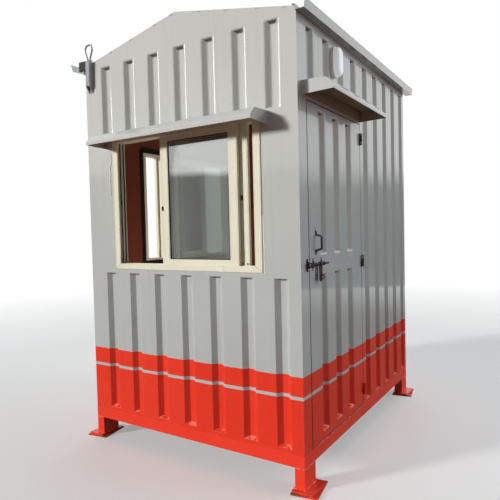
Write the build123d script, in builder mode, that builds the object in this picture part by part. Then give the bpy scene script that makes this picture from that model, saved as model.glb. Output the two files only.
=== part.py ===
from build123d import *
import math
import os

os.makedirs("parts", exist_ok=True)

# A steel security booth: pressed sheet walls on a raised base frame, a side door, two sliding windows.
# Origin in the middle of the outline on the ground, +X to the door side, -Y to the front, +Z up, in mm.

# Cabin shell, over the outer faces
width = 1600
depth = 1940
wall_height = 2394
ridge_rise = 169
sheet = 2

# Pressed grooves: one die for every wall and for the door
groove_mouth = 88
groove_floor = 32
groove_depth = 26
groove_end_run = 11
front_groove_count = 7
front_upper_start = 149
front_upper_end = 103
front_lower_start = 142
front_lower_end = 74
front_groove_drop = 31
front_groove_bottom = 93
over_door_count = 4
over_door_start = 15
over_door_end = 62.5
behind_door_count = 5
behind_door_start = 61
behind_door_end = 48
left_groove_pitch = 205
side_groove_drop = 54
side_groove_bottom = 88
groove_under_window = 29
groove_over_window = 34

# Base frame, legs and feet
rail_height = 70
rail_width = 40
rail_wall = 5
leg_across = 60
leg_along = 130
leg_wall = 5
leg_height = 114
foot_across = 120
foot_along = 180
foot_shift = 22
foot_thickness = 8
packing_across = 150
packing_along = 200
packing_thickness = 8
packing_turn = 9
joist_count = 3
joist_width = 40
joist_height = 40

# Frame posts, lining and floor
post_width = 95
rear_post_width = 40
post_depth = 50
post_wall = 4
lining = 9
lining_joint = 3
floor_thickness = 12
ceiling_drop = 64
ceiling_thickness = 6

# Roof and gutters
roof_thickness = 3
left_eave_lap = 46
gutter_sheet = 2
gutter_bottom = 53
gutter_height = 48
gutter_splay = 7
gutter_fold = 20
gutter_drop = 23
gutter_front_lap = 15
gutter_rear_lap = 80
left_gutter_bottom = 112
left_gutter_drop = 51
left_gutter_rise = 41
left_gutter_lip = 51
left_gutter_splay = 19
left_gutter_flange = 26
eave_block_width = 68
eave_block_lap = 21
eave_block_height = 60
eave_block_drop = 22

# Sheet hoods over the window and the door
hood_depth = 176
hood_flat = 134
hood_flat_fall = 5
hood_facet_fall = 42
hood_lip = 21
hood_rise = 5
window_hood_lap_left = 49
window_hood_lap_right = 51
window_hood_cover = 64
door_hood_lap_latch = 45
door_hood_lap_hinge = 15
door_hood_rise = 14

# Sliding windows: the front one and the one in the left wall share their sections
window_width = 1132
window_height = 852
window_sill = 1034
front_window_start = 240
side_window_start = 443
window_lip_side = 46
window_lip_rail = 34
window_lip_proud = 6
window_overlap = 15
window_clearance = 1
window_wall = 3
track_gap = 25
track_wall = 3
sash_thickness = 22
sash_overlap = 38
sash_stile = 58
sash_rail = 47
glass_thickness = 5
sash_clearance = 1

# How far along its track each sash stands, as a share of its travel
front_outer_slid = 0.742
front_inner_slid = 0.843
side_outer_slid = 0.337
side_inner_slid = 0.366

# Door leaf, opening and hinges
door_start = 97
door_width = 800
door_head = 1949
door_gap = 6
latch_gap = 8
leaf_thickness = 40
door_groove_count = 3
door_groove_latch = 149
door_groove_hinge = 163
door_groove_bottom = 120
door_groove_drop = 34
door_band_under = 62
door_band_over = 52
stop_width = 14
stop_thickness = 9
stop_clearance = 2
head_rail_height = 50
hinge_heights = (185, 1045, 1848)
hinge_length = 75
hinge_radius = 9
hinge_pin_radius = 5
hinge_pin_clearance = 0.1
hinge_proud = 0.6
hinge_seam = 1
hinge_tab = 9

# Door pull, slide bolt and keeper
pull_place = 188
pull_over_bolt = 74
pull_span = 87
pull_slant = 9
pull_reach = 34
pull_radius = 6
pull_bend = 10
pull_foot_length = 34
pull_foot_width = 18
pull_foot_thickness = 3
bolt_height = 1072
bolt_radius = 6
bolt_stand_off = 18
bolt_length = 206
bolt_shot_tip = 70
bolt_travel = 30
bolt_guide_near = 147
bolt_guide_far = 252
bolt_guide_width = 12
bolt_guide_height = 64
bolt_guide_wall = 3
bolt_clearance = 0.5
tongue_width = 34
tongue_length = 98
tongue_thickness = 5
tongue_place = 176
tongue_boss = 11
tongue_slot_width = 12
tongue_slot_length = 34
staple_drop = 70
staple_half = 12
staple_reach = 8
staple_radius = 2.5
keeper_start = 65
keeper_width = 29
keeper_height = 66
keeper_passage_height = 18
keeper_passage_depth = 23
keeper_plate = 4

# Bulkhead lamp over the door
lamp_place = 473
lamp_height = 2234
lamp_width = 96
lamp_length = 178
lamp_base_depth = 18
lamp_depth = 52
lamp_rim = 5
lamp_edge = 24

# Lifting loop at the front left corner: a bent rod on a capped tube that is cut open at an angle below
loop_radius = 6.5
loop_middle = 58
loop_neck_rise = 16
loop_wide_rise = 74
loop_top_rise = 103
loop_neck_half = 13
loop_half = 37
loop_top_half = 21
loop_bend = 24
socket_width = 34
socket_depth = 32
socket_wall = 3
socket_length = 214
socket_over_eave = 30
socket_cut = 48
socket_lean = 7

# Lines that follow from the sizes
left_reach = left_gutter_bottom + left_gutter_splay
left = -(width + hood_depth - left_reach) / 2
right = left + width
front = -(depth + gutter_rear_lap - hood_depth) / 2
rear = front + depth
base = packing_thickness + foot_thickness + leg_height
eave = base + wall_height
peak = eave + ridge_rise
slope = ridge_rise / (width / 2)
middle = left + width / 2
inside = sheet + post_depth

# Faces of the cabin, each with its height measured from the underside of the base rails
front_face = Plane(origin=(left, front, base), x_dir=(1, 0, 0), z_dir=(0, -1, 0))
right_face = Plane(origin=(right, front, base), x_dir=(0, 1, 0), z_dir=(1, 0, 0))
rear_face = Plane(origin=(right, rear, base), x_dir=(-1, 0, 0), z_dir=(0, 1, 0))
left_face = Plane(origin=(left, rear, base), x_dir=(0, -1, 0), z_dir=(-1, 0, 0))

# Openings cut in the sheets
cut_width = window_width - 2 * window_overlap
cut_height = window_height - 2 * window_overlap
cut_low = window_sill + window_overlap
cut_high = cut_low + cut_height
front_cut_left = front_window_start + window_overlap
front_cut_right = front_cut_left + cut_width
side_cut_left = depth - side_window_start - window_width + window_overlap
side_cut_right = side_cut_left + cut_width
door_end = door_start + door_width
frame_high = door_head + head_rail_height
ceiling_height = wall_height - ceiling_drop


def flat_panel(face, x0, x1, low, high):
    # a flat piece of wall sheet between two heights, its outer side on the face
    with BuildSketch(face) as outline:
        with Locations(((x0 + x1) / 2, (low + high) / 2)):
            Rectangle(x1 - x0, high - low)
    extrude(outline.sketch, amount=-sheet)


def tapered_form(face, place, low, high, skin_side, skin_end, deep, mode):
    # a four-sided form that narrows from the outer face to the groove's floor
    run = (groove_mouth - groove_floor) / 2
    side_run = run * deep / groove_depth
    end_run = groove_end_run * deep / groove_depth
    wide = groove_mouth + 2 * skin_side
    tall = high - low + 2 * skin_end
    with BuildSketch(face) as mouth:
        with Locations((place + groove_mouth / 2, (low + high) / 2)):
            Rectangle(wide, tall)
    with BuildSketch(face.offset(-deep)) as bottom:
        with Locations((place + groove_mouth / 2, (low + high) / 2)):
            Rectangle(wide - 2 * side_run, tall - 2 * end_run)
    loft(sections=[mouth.sketch, bottom.sketch], ruled=True, mode=mode)


def press_grooves(face, places, low, high):
    # each groove is a bulge of the sheet's own thickness on the inside, hollow from the outside
    run = (groove_mouth - groove_floor) / 2
    skin_side = sheet * math.hypot(run, groove_depth) / groove_depth
    skin_end = sheet * math.hypot(groove_end_run, groove_depth) / groove_depth
    for place in places:
        tapered_form(face, place, low, high, skin_side, skin_end, groove_depth + sheet, Mode.ADD)
    for place in places:
        tapered_form(face, place, low, high, 0, 0, groove_depth, Mode.SUBTRACT)


def groove_places(first, last, count):
    # the grooves' near edges, evenly set between two lines
    pitch = (last - groove_mouth - first) / (count - 1)
    return [first + k * pitch for k in range(count)]


def bay_places(x0, x1):
    # as many grooves as the pitch gives between two lines, each in the middle of its share
    count = max(1, round((x1 - x0) / left_groove_pitch))
    share = (x1 - x0) / count
    return [x0 + (k + 0.5) * share - groove_mouth / 2 for k in range(count)]


upper_places = groove_places(front_upper_start, width - front_upper_end, front_groove_count)
lower_places = groove_places(front_lower_start, width - front_lower_end, front_groove_count)
front_groove_top = wall_height - front_groove_drop
side_groove_top = wall_height - side_groove_drop
upper_groove_bottom = cut_high + groove_over_window
lower_groove_top = window_sill - groove_under_window

# Base frame: four channels that open inwards, welded into one ring
with BuildPart() as base_frame:
    with BuildSketch(Plane.XY.offset(base)):
        with Locations((middle, front + depth / 2)):
            Rectangle(width, depth)
            Rectangle(width - 2 * rail_width, depth - 2 * rail_width, mode=Mode.SUBTRACT)
    extrude(amount=rail_height)
    with BuildSketch(Plane.XY.offset(base + rail_wall)):
        with Locations((middle, front + depth / 2)):
            Rectangle(width - 2 * rail_wall, depth - 2 * rail_wall)
    extrude(amount=rail_height - 2 * rail_wall, mode=Mode.SUBTRACT)
base_frame.part.label = "base_frame"
export_step(base_frame.part, "parts/base_frame.step")

with BuildPart() as floor_joists:
    joist_top = base + rail_height - floor_thickness
    joist_pitch = (depth - 2 * rail_width) / (joist_count + 1)
    with BuildSketch(Plane.XY.offset(joist_top)):
        with Locations((middle, front + depth / 2)):
            with GridLocations(0, joist_pitch, 1, joist_count):
                Rectangle(width - 2 * rail_wall, joist_width)
    extrude(amount=-joist_height)
floor_joists.part.label = "floor_joists"
export_step(floor_joists.part, "parts/floor_joists.step")

with BuildPart() as floor_board:
    with BuildSketch(Plane.XY.offset(base + rail_height - floor_thickness)):
        with Locations((middle, front + depth / 2)):
            Rectangle(width - 2 * rail_width, depth - 2 * rail_width)
    extrude(amount=floor_thickness)
floor_board.part.label = "floor_board"
export_step(floor_board.part, "parts/floor_board.step")

# Legs under the four corners, each on a plate and a loose packing plate
leg_places = []
for x0, side in ((left, 1), (right, -1)):
    for y0, end in ((front, 1), (rear, -1)):
        leg_places.append((x0 + side * leg_across / 2, y0 + end * leg_along / 2, -side))

with BuildPart() as legs:
    with BuildSketch(Plane.XY.offset(base)):
        with Locations(*[(x, y) for x, y, side in leg_places]):
            Rectangle(leg_across, leg_along)
            Rectangle(leg_across - 2 * leg_wall, leg_along - 2 * leg_wall, mode=Mode.SUBTRACT)
    extrude(amount=-leg_height)
legs.part.label = "legs"
export_step(legs.part, "parts/legs.step")

with BuildPart() as foot_plates:
    with BuildSketch(Plane.XY.offset(packing_thickness)):
        with Locations(*[(x + side * foot_shift, y) for x, y, side in leg_places]):
            Rectangle(foot_across, foot_along)
    extrude(amount=foot_thickness)
foot_plates.part.label = "foot_plates"
export_step(foot_plates.part, "parts/foot_plates.step")

with BuildPart() as packing_plates:
    with BuildSketch(Plane.XY):
        with Locations(*[(x + side * foot_shift, y) for x, y, side in leg_places]):
            Rectangle(packing_across, packing_along, rotation=packing_turn)
    extrude(amount=packing_thickness)
packing_plates.part.label = "packing_plates"
export_step(packing_plates.part, "parts/packing_plates.step")

# Corner posts: tubes behind the sheets, the front right one bare beside the door
post_x = ((left + sheet, left + sheet), (right - post_depth, right - sheet - post_depth))
post_y = ((front + sheet, post_width), (rear - sheet - rear_post_width, rear_post_width))
with BuildPart() as corner_posts:
    with BuildSketch(Plane.XY.offset(base + rail_height)):
        for pair in post_x:
            for x0, (y0, wide) in zip(pair, post_y):
                with Locations((x0 + post_depth / 2, y0 + wide / 2)):
                    Rectangle(post_depth, wide)
                    Rectangle(post_depth - 2 * post_wall, wide - 2 * post_wall, mode=Mode.SUBTRACT)
    extrude(amount=wall_height - rail_height)
corner_posts.part.label = "corner_posts"
export_step(corner_posts.part, "parts/corner_posts.step")

# Front wall: sheet under, beside and over the window
with BuildPart() as front_wall_lower:
    flat_panel(front_face, 0, width, rail_height, cut_low)
    press_grooves(front_face, lower_places, front_groove_bottom, lower_groove_top)
front_wall_lower.part.label = "front_wall_lower"
export_step(front_wall_lower.part, "parts/front_wall_lower.step")

with BuildPart() as front_wall_sides:
    flat_panel(front_face, 0, front_cut_left, cut_low, cut_high)
    flat_panel(front_face, front_cut_right, width, cut_low, cut_high)
front_wall_sides.part.label = "front_wall_sides"
export_step(front_wall_sides.part, "parts/front_wall_sides.step")

with BuildPart() as front_wall_upper:
    with BuildSketch(front_face):
        with BuildLine():
            Polyline(
                (0, cut_high),
                (width, cut_high),
                (width, wall_height),
                (width / 2, wall_height + ridge_rise),
                (0, wall_height),
                close=True,
            )
        make_face()
    extrude(amount=-sheet)
    press_grooves(front_face, upper_places, upper_groove_bottom, front_groove_top)
front_wall_upper.part.label = "front_wall_upper"
export_step(front_wall_upper.part, "parts/front_wall_upper.step")

# Rear wall: one sheet with full-height grooves
with BuildPart() as rear_wall:
    with BuildSketch(rear_face):
        with BuildLine():
            Polyline(
                (0, rail_height),
                (width, rail_height),
                (width, wall_height),
                (width / 2, wall_height + ridge_rise),
                (0, wall_height),
                close=True,
            )
        make_face()
    extrude(amount=-sheet)
    press_grooves(rear_face, upper_places, front_groove_bottom, front_groove_top)
rear_wall.part.label = "rear_wall"
export_step(rear_wall.part, "parts/rear_wall.step")

# Right wall: over the door and behind it
with BuildPart() as right_wall_over_door:
    flat_panel(right_face, sheet + post_width, door_end, door_head, wall_height)
    over_places = groove_places(door_start + over_door_start, door_end - over_door_end, over_door_count)
    press_grooves(right_face, over_places, frame_high + groove_end_run, side_groove_top)
right_wall_over_door.part.label = "right_wall_over_door"
export_step(right_wall_over_door.part, "parts/right_wall_over_door.step")

with BuildPart() as right_wall_rear:
    flat_panel(right_face, door_end, depth - sheet, rail_height, wall_height)
    behind_places = groove_places(door_end + behind_door_start, depth - behind_door_end, behind_door_count)
    press_grooves(right_face, behind_places, side_groove_bottom, side_groove_top)
right_wall_rear.part.label = "right_wall_rear"
export_step(right_wall_rear.part, "parts/right_wall_rear.step")

# Left wall: full-height sheets at its ends, and a sheet under and over its window
under_places = bay_places(side_cut_left, side_cut_right)
rear_bay = bay_places(sheet + rear_post_width, side_cut_left)
front_bay = bay_places(side_cut_right, depth - sheet - post_width)
with BuildPart() as left_wall_ends:
    flat_panel(left_face, sheet, side_cut_left, rail_height, wall_height)
    flat_panel(left_face, side_cut_right, depth - sheet, rail_height, wall_height)
    press_grooves(left_face, rear_bay + front_bay, side_groove_bottom, side_groove_top)
left_wall_ends.part.label = "left_wall_ends"
export_step(left_wall_ends.part, "parts/left_wall_ends.step")

with BuildPart() as left_wall_lower:
    flat_panel(left_face, side_cut_left, side_cut_right, rail_height, cut_low)
    press_grooves(left_face, under_places, side_groove_bottom, lower_groove_top)
left_wall_lower.part.label = "left_wall_lower"
export_step(left_wall_lower.part, "parts/left_wall_lower.step")

with BuildPart() as left_wall_upper:
    flat_panel(left_face, side_cut_left, side_cut_right, cut_high, wall_height)
    press_grooves(left_face, under_places, upper_groove_bottom, side_groove_top)
left_wall_upper.part.label = "left_wall_upper"
export_step(left_wall_upper.part, "parts/left_wall_upper.step")


def lining_boards(face, x0, x1, low, high):
    # one board of the inner lining, fixed to the inner side of the posts
    with BuildSketch(face.offset(-inside)) as board:
        with Locations(((x0 + x1) / 2, (low + high) / 2)):
            Rectangle(x1 - x0, high - low)
    extrude(board.sketch, amount=-lining)


# Inner lining: boards beside, under and over each opening, with open joints between them
board_low = rail_height
board_high = ceiling_height
with BuildPart() as end_linings:
    lining_boards(front_face, inside, front_cut_left, board_low, board_high)
    lining_boards(front_face, front_cut_right, width - inside, board_low, board_high)
    opening = (front_cut_left + lining_joint, front_cut_right - lining_joint)
    lining_boards(front_face, *opening, board_low, cut_low)
    lining_boards(front_face, *opening, cut_high, board_high)
    lining_boards(rear_face, inside, width / 2 - lining_joint / 2, board_low, board_high)
    lining_boards(rear_face, width / 2 + lining_joint / 2, width - inside, board_low, board_high)
end_linings.part.label = "end_linings"
export_step(end_linings.part, "parts/end_linings.step")

side_in = inside + lining
with BuildPart() as side_linings:
    lining_boards(left_face, side_in, side_cut_left, board_low, board_high)
    lining_boards(left_face, side_cut_right, depth - side_in, board_low, board_high)
    opening = (side_cut_left + lining_joint, side_cut_right - lining_joint)
    lining_boards(left_face, *opening, board_low, cut_low)
    lining_boards(left_face, *opening, cut_high, board_high)
    hinge_board = door_end + stop_width
    lining_boards(right_face, hinge_board, depth - side_in, board_low, board_high)
    lining_boards(right_face, side_in, hinge_board - lining_joint, door_head + stop_width, board_high)
side_linings.part.label = "side_linings"
export_step(side_linings.part, "parts/side_linings.step")

with BuildPart() as ceiling_board:
    with BuildSketch(Plane.XY.offset(base + ceiling_height)):
        with Locations((middle, front + depth / 2)):
            Rectangle(width - 2 * inside, depth - 2 * inside)
    extrude(amount=ceiling_thickness)
ceiling_board.part.label = "ceiling_board"
export_step(ceiling_board.part, "parts/ceiling_board.step")

# Door frame: a hinge post and a head rail, welded together, and the stops that the leaf closes on
with BuildPart() as door_frame:
    with BuildSketch(right_face.offset(-sheet)):
        with BuildLine():
            Polyline(
                (door_end, rail_height),
                (door_end + post_depth, rail_height),
                (door_end + post_depth, frame_high),
                (door_start, frame_high),
                (door_start, door_head),
                (door_end, door_head),
                close=True,
            )
        make_face()
    extrude(amount=-post_depth)
    with BuildSketch(right_face.offset(-sheet - post_wall)):
        with BuildLine():
            Polyline(
                (door_end + post_wall, rail_height + post_wall),
                (door_end + post_depth - post_wall, rail_height + post_wall),
                (door_end + post_depth - post_wall, frame_high - post_wall),
                (door_start + post_wall, frame_high - post_wall),
                (door_start + post_wall, door_head + post_wall),
                (door_end + post_wall, door_head + post_wall),
                close=True,
            )
        make_face()
    extrude(amount=2 * post_wall - post_depth, mode=Mode.SUBTRACT)
door_frame.part.label = "door_frame"
export_step(door_frame.part, "parts/door_frame.step")

with BuildPart() as door_stops:
    with BuildSketch(right_face.offset(-leaf_thickness - stop_clearance)):
        with Locations(((door_start + door_end) / 2, (rail_height + door_head) / 2)):
            Rectangle(door_width, door_head - rail_height)
        with Locations(((door_start + door_end) / 2, (rail_height + door_head - stop_width) / 2)):
            Rectangle(door_width - 2 * stop_width, door_head - rail_height - stop_width, mode=Mode.SUBTRACT)
    extrude(amount=-stop_thickness)
door_stops.part.label = "door_stops"
export_step(door_stops.part, "parts/door_stops.step")

# Roof: one sheet folded at the ridge, over the left eave into its gutter
with BuildPart() as roof_sheet:
    with BuildSketch(Plane(origin=(left, front, eave), x_dir=(1, 0, 0), z_dir=(0, -1, 0))):
        with BuildLine():
            Polyline(
                (-left_eave_lap, -left_eave_lap * slope),
                (width / 2, ridge_rise),
                (width, 0),
                (width, roof_thickness),
                (width / 2, ridge_rise + roof_thickness),
                (-left_eave_lap, roof_thickness - left_eave_lap * slope),
                close=True,
            )
        make_face()
    extrude(amount=-depth)
roof_sheet.part.label = "roof_sheet"
export_step(roof_sheet.part, "parts/roof_sheet.step")

# Gutters: folded channels with open ends
gutter_start = front - gutter_front_lap
gutter_length = depth + gutter_front_lap + gutter_rear_lap
with BuildPart() as gutter_right:
    gutter_base = (right, gutter_start, eave - gutter_drop)
    with BuildSketch(Plane(origin=gutter_base, x_dir=(1, 0, 0), z_dir=(0, -1, 0))):
        rise = gutter_drop + roof_thickness + gutter_sheet
        with BuildLine():
            Polyline(
                (0, 0),
                (gutter_bottom, 0),
                (gutter_bottom + gutter_splay, gutter_height),
                (gutter_bottom + gutter_splay - gutter_sheet, gutter_height),
                (gutter_bottom - gutter_sheet, gutter_sheet),
                (gutter_sheet, gutter_sheet),
                (gutter_sheet, rise + gutter_sheet),
                (-gutter_fold, rise + gutter_sheet + gutter_fold * slope),
                (-gutter_fold, rise + gutter_fold * slope),
                (0, rise),
                close=True,
            )
        make_face()
    extrude(amount=-gutter_length)
gutter_right.part.label = "gutter_right"
export_step(gutter_right.part, "parts/gutter_right.step")

# The left gutter's bottom rises from the wall to its outer lip
with BuildPart() as gutter_left:
    gutter_base = (left, gutter_start, eave - left_gutter_drop)
    with BuildSketch(Plane(origin=gutter_base, x_dir=(1, 0, 0), z_dir=(0, -1, 0))):
        lip_high = left_gutter_rise + left_gutter_lip
        with BuildLine():
            Polyline(
                (0, 0),
                (-left_gutter_bottom, left_gutter_rise),
                (-left_reach, lip_high),
                (gutter_sheet - left_reach, lip_high),
                (gutter_sheet - left_gutter_bottom, left_gutter_rise + gutter_sheet),
                (-gutter_sheet, 2 * gutter_sheet),
                (-gutter_sheet, left_gutter_flange),
                (0, left_gutter_flange),
                close=True,
            )
        make_face()
    extrude(amount=-gutter_length)
gutter_left.part.label = "gutter_left"
export_step(gutter_left.part, "parts/gutter_left.step")

# A block closes the eave beside the left gutter's front end
with BuildPart() as eave_block:
    block_middle = eave_block_lap - eave_block_width / 2
    block_height = wall_height - eave_block_drop + eave_block_height / 2
    with BuildSketch(front_face):
        with Locations((block_middle, block_height)):
            Rectangle(eave_block_width, eave_block_height)
    extrude(amount=gutter_front_lap)
eave_block.part.label = "eave_block"
export_step(eave_block.part, "parts/eave_block.step")


def hood(face, x0, length, low):
    # a folded sheet hood with closed ends, open below
    start = Plane(origin=face.from_local_coords((x0, low, 0)), x_dir=face.z_dir, z_dir=face.x_dir)
    lip_high = hood_rise + hood_lip
    facet_high = lip_high + hood_facet_fall
    wall_high = facet_high + hood_flat_fall
    with BuildSketch(start) as outline:
        with BuildLine():
            Polyline(
                (0, 0),
                (hood_depth, -hood_rise),
                (hood_depth, -lip_high),
                (hood_flat, -facet_high),
                (0, -wall_high),
                close=True,
            )
        make_face()
    extrude(outline.sketch, amount=length)
    with BuildSketch(start.offset(sheet)) as hollow:
        with BuildLine():
            Polyline(
                (0, hood_lip),
                (hood_depth - sheet, hood_lip),
                (hood_depth - sheet, sheet / 2 - lip_high),
                (hood_flat - sheet / 2, sheet - facet_high),
                (0, sheet - wall_high),
                close=True,
            )
        make_face()
    extrude(hollow.sketch, amount=length - 2 * sheet, mode=Mode.SUBTRACT)


with BuildPart() as window_hood:
    hood_start = front_window_start - window_hood_lap_left
    hood_length = window_width + window_hood_lap_left + window_hood_lap_right
    hood(front_face, hood_start, hood_length, window_sill + window_height - window_hood_cover)
window_hood.part.label = "window_hood"
export_step(window_hood.part, "parts/window_hood.step")

with BuildPart() as door_hood:
    hood_length = door_width + door_hood_lap_latch + door_hood_lap_hinge
    hood(right_face, door_start - door_hood_lap_latch, hood_length, door_head + door_hood_rise)
door_hood.part.label = "door_hood"
export_step(door_hood.part, "parts/door_hood.step")

# Window frames: a body ring with a front lip, a track divider and a rear lip that hold two sashes
track_depth = 2 * track_gap + 2 * track_wall
ring_width = cut_width - 2 * window_clearance
ring_height = cut_height - 2 * window_clearance
track_start = window_overlap + window_clearance + window_wall
track_length = ring_width - 2 * window_wall
track_height = ring_height - 2 * window_wall
sash_width = (track_length + sash_overlap) / 2
sash_height = track_height - 2 * sash_clearance
sash_travel = track_length - sash_width
clear_width = window_width - 2 * window_lip_side
clear_height = window_height - 2 * window_lip_rail


def window_frame(face, x0):
    centre = (x0 + window_width / 2, window_sill + window_height / 2)
    with BuildSketch(face.offset(window_lip_proud)) as lip:
        with Locations(centre):
            Rectangle(window_width, window_height)
            Rectangle(clear_width, clear_height, mode=Mode.SUBTRACT)
    extrude(lip.sketch, amount=-window_lip_proud)
    with BuildSketch(face) as ring:
        with Locations(centre):
            Rectangle(ring_width, ring_height)
            Rectangle(clear_width, clear_height, mode=Mode.SUBTRACT)
    extrude(ring.sketch, amount=-track_depth)
    for k in range(2):
        with BuildSketch(face.offset(-k * (track_gap + track_wall))) as track:
            with Locations(centre):
                Rectangle(track_length, track_height)
        extrude(track.sketch, amount=-track_gap, mode=Mode.SUBTRACT)


def window_sashes(face, starts):
    # two sliding frames, each in its own track, standing on the track's floor
    centre_height = window_sill + track_start + sash_height / 2
    glass_width = sash_width - 2 * sash_stile
    glass_height = sash_height - 2 * sash_rail
    for k, start in enumerate(starts):
        inset = k * (track_gap + track_wall) + (track_gap - sash_thickness) / 2
        with BuildSketch(face.offset(-inset)) as ring:
            with Locations((start + sash_width / 2, centre_height)):
                Rectangle(sash_width, sash_height)
                Rectangle(glass_width, glass_height, mode=Mode.SUBTRACT)
        extrude(ring.sketch, amount=-sash_thickness)


def window_glass(face, starts):
    centre_height = window_sill + track_start + sash_height / 2
    for k, start in enumerate(starts):
        inset = k * (track_gap + track_wall) + (track_gap - glass_thickness) / 2
        with BuildSketch(face.offset(-inset)) as pane:
            with Locations((start + sash_width / 2, centre_height)):
                Rectangle(sash_width - 2 * sash_stile, sash_height - 2 * sash_rail)
        extrude(pane.sketch, amount=-glass_thickness)


front_track = front_window_start + track_start
front_starts = [front_track + slid * sash_travel for slid in (front_outer_slid, front_inner_slid)]
side_edge = depth - side_window_start
side_track = side_edge - track_start - sash_width
side_starts = [side_track - slid * sash_travel for slid in (side_outer_slid, side_inner_slid)]
with BuildPart() as front_window_frame:
    window_frame(front_face, front_window_start)
front_window_frame.part.label = "front_window_frame"
export_step(front_window_frame.part, "parts/front_window_frame.step")

with BuildPart() as front_window_sashes:
    window_sashes(front_face, front_starts)
front_window_sashes.part.label = "front_window_sashes"
export_step(front_window_sashes.part, "parts/front_window_sashes.step")

with BuildPart() as front_window_glass:
    window_glass(front_face, front_starts)
front_window_glass.part.label = "front_window_glass"
export_step(front_window_glass.part, "parts/front_window_glass.step")

with BuildPart() as side_window_frame:
    window_frame(left_face, side_edge - window_width)
side_window_frame.part.label = "side_window_frame"
export_step(side_window_frame.part, "parts/side_window_frame.step")

with BuildPart() as side_window_sashes:
    window_sashes(left_face, side_starts)
side_window_sashes.part.label = "side_window_sashes"
export_step(side_window_sashes.part, "parts/side_window_sashes.step")

with BuildPart() as side_window_glass:
    window_glass(left_face, side_starts)
side_window_glass.part.label = "side_window_glass"
export_step(side_window_glass.part, "parts/side_window_glass.step")

# Lamp: a flat base on the wall and a rounded diffuser
with BuildPart() as lamp_base:
    with BuildSketch(right_face):
        with Locations((lamp_place, lamp_height)):
            SlotOverall(lamp_length, lamp_width, rotation=90)
    extrude(amount=lamp_base_depth)
lamp_base.part.label = "lamp_base"
export_step(lamp_base.part, "parts/lamp_base.step")

with BuildPart() as lamp_diffuser:
    with BuildSketch(right_face.offset(lamp_base_depth)):
        with Locations((lamp_place, lamp_height)):
            SlotOverall(lamp_length - 2 * lamp_rim, lamp_width - 2 * lamp_rim, rotation=90)
    extrude(amount=lamp_depth - lamp_base_depth)
    fillet(lamp_diffuser.faces().sort_by(Axis.X)[-1].edges(), radius=lamp_edge)
lamp_diffuser.part.label = "lamp_diffuser"
export_step(lamp_diffuser.part, "parts/lamp_diffuser.step")

# Lifting loop: a rod bent round an eye, its two ends on the cap of a leaning tube
with BuildPart() as lifting_loop:
    socket_high = wall_height + socket_over_eave
    socket_low = socket_high - socket_length
    loop_neck = socket_high + loop_neck_rise
    loop_wide = socket_high + loop_wide_rise
    loop_top = socket_high + loop_top_rise
    socket_top = (loop_middle, socket_high)
    socket_foot = (loop_middle - socket_lean, socket_low)
    with BuildSketch(front_face) as outer:
        with BuildLine():
            Polyline(
                (socket_foot[0] - socket_width / 2, socket_foot[1]),
                (socket_foot[0] + socket_width / 2, socket_foot[1]),
                (socket_top[0] + socket_width / 2, socket_top[1]),
                (socket_top[0] - socket_width / 2, socket_top[1]),
                close=True,
            )
        make_face()
    extrude(outer.sketch, amount=socket_depth)
    bore_width = socket_width - 2 * socket_wall
    with BuildSketch(front_face.offset(socket_wall)) as bore:
        with BuildLine():
            Polyline(
                (socket_foot[0] - bore_width / 2, socket_foot[1]),
                (socket_foot[0] + bore_width / 2, socket_foot[1]),
                (socket_top[0] + bore_width / 2, socket_top[1] - socket_wall),
                (socket_top[0] - bore_width / 2, socket_top[1] - socket_wall),
                close=True,
            )
        make_face()
    extrude(bore.sketch, amount=socket_depth - 2 * socket_wall, mode=Mode.SUBTRACT)
    with BuildSketch(Plane(origin=(left, front, base), x_dir=(0, -1, 0), z_dir=(-1, 0, 0))) as slant:
        with BuildLine():
            Polyline(
                (0, socket_low),
                (socket_depth, socket_low),
                (socket_depth, socket_low + socket_cut),
                close=True,
            )
        make_face()
    extrude(slant.sketch, amount=-2 * socket_width - loop_middle, mode=Mode.SUBTRACT)
    with BuildLine(front_face.offset(socket_depth / 2)) as loop_path:
        FilletPolyline(
            (loop_middle - loop_neck_half, socket_high),
            (loop_middle - loop_neck_half, loop_neck),
            (loop_middle - loop_half, loop_wide),
            (loop_middle - loop_top_half, loop_top),
            (loop_middle + loop_top_half, loop_top),
            (loop_middle + loop_half, loop_wide),
            (loop_middle + loop_neck_half, loop_neck),
            (loop_middle + loop_neck_half, socket_high),
            radius=loop_bend,
        )
    with BuildSketch(Plane(origin=loop_path.line @ 0, z_dir=loop_path.line % 0)) as rod:
        Circle(loop_radius)
    sweep(rod.sketch, path=loop_path.line)
lifting_loop.part.label = "lifting_loop"
export_step(lifting_loop.part, "parts/lifting_loop.step")

# Door leaf: a pressed pan with folded edges, and a flat sheet on the inside
leaf_start = door_start + latch_gap
leaf_end = door_end - door_gap
leaf_low = rail_height + door_gap
leaf_high = door_head - door_gap
with BuildPart() as door_leaf:
    with BuildSketch(right_face):
        with Locations(((leaf_start + leaf_end) / 2, (leaf_low + leaf_high) / 2)):
            Rectangle(leaf_end - leaf_start, leaf_high - leaf_low)
    extrude(amount=-(leaf_thickness - sheet))
    with BuildSketch(right_face.offset(-sheet)):
        with Locations(((leaf_start + leaf_end) / 2, (leaf_low + leaf_high) / 2)):
            Rectangle(leaf_end - leaf_start - 2 * sheet, leaf_high - leaf_low - 2 * sheet)
    extrude(amount=-leaf_thickness, mode=Mode.SUBTRACT)
    first_line = door_start + door_groove_latch
    door_places = groove_places(first_line, door_end - door_groove_hinge, door_groove_count)
    press_grooves(right_face, door_places, door_groove_bottom, bolt_height - door_band_under)
    press_grooves(right_face, door_places, bolt_height + door_band_over, door_head - door_groove_drop)
door_leaf.part.label = "door_leaf"
export_step(door_leaf.part, "parts/door_leaf.step")

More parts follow.
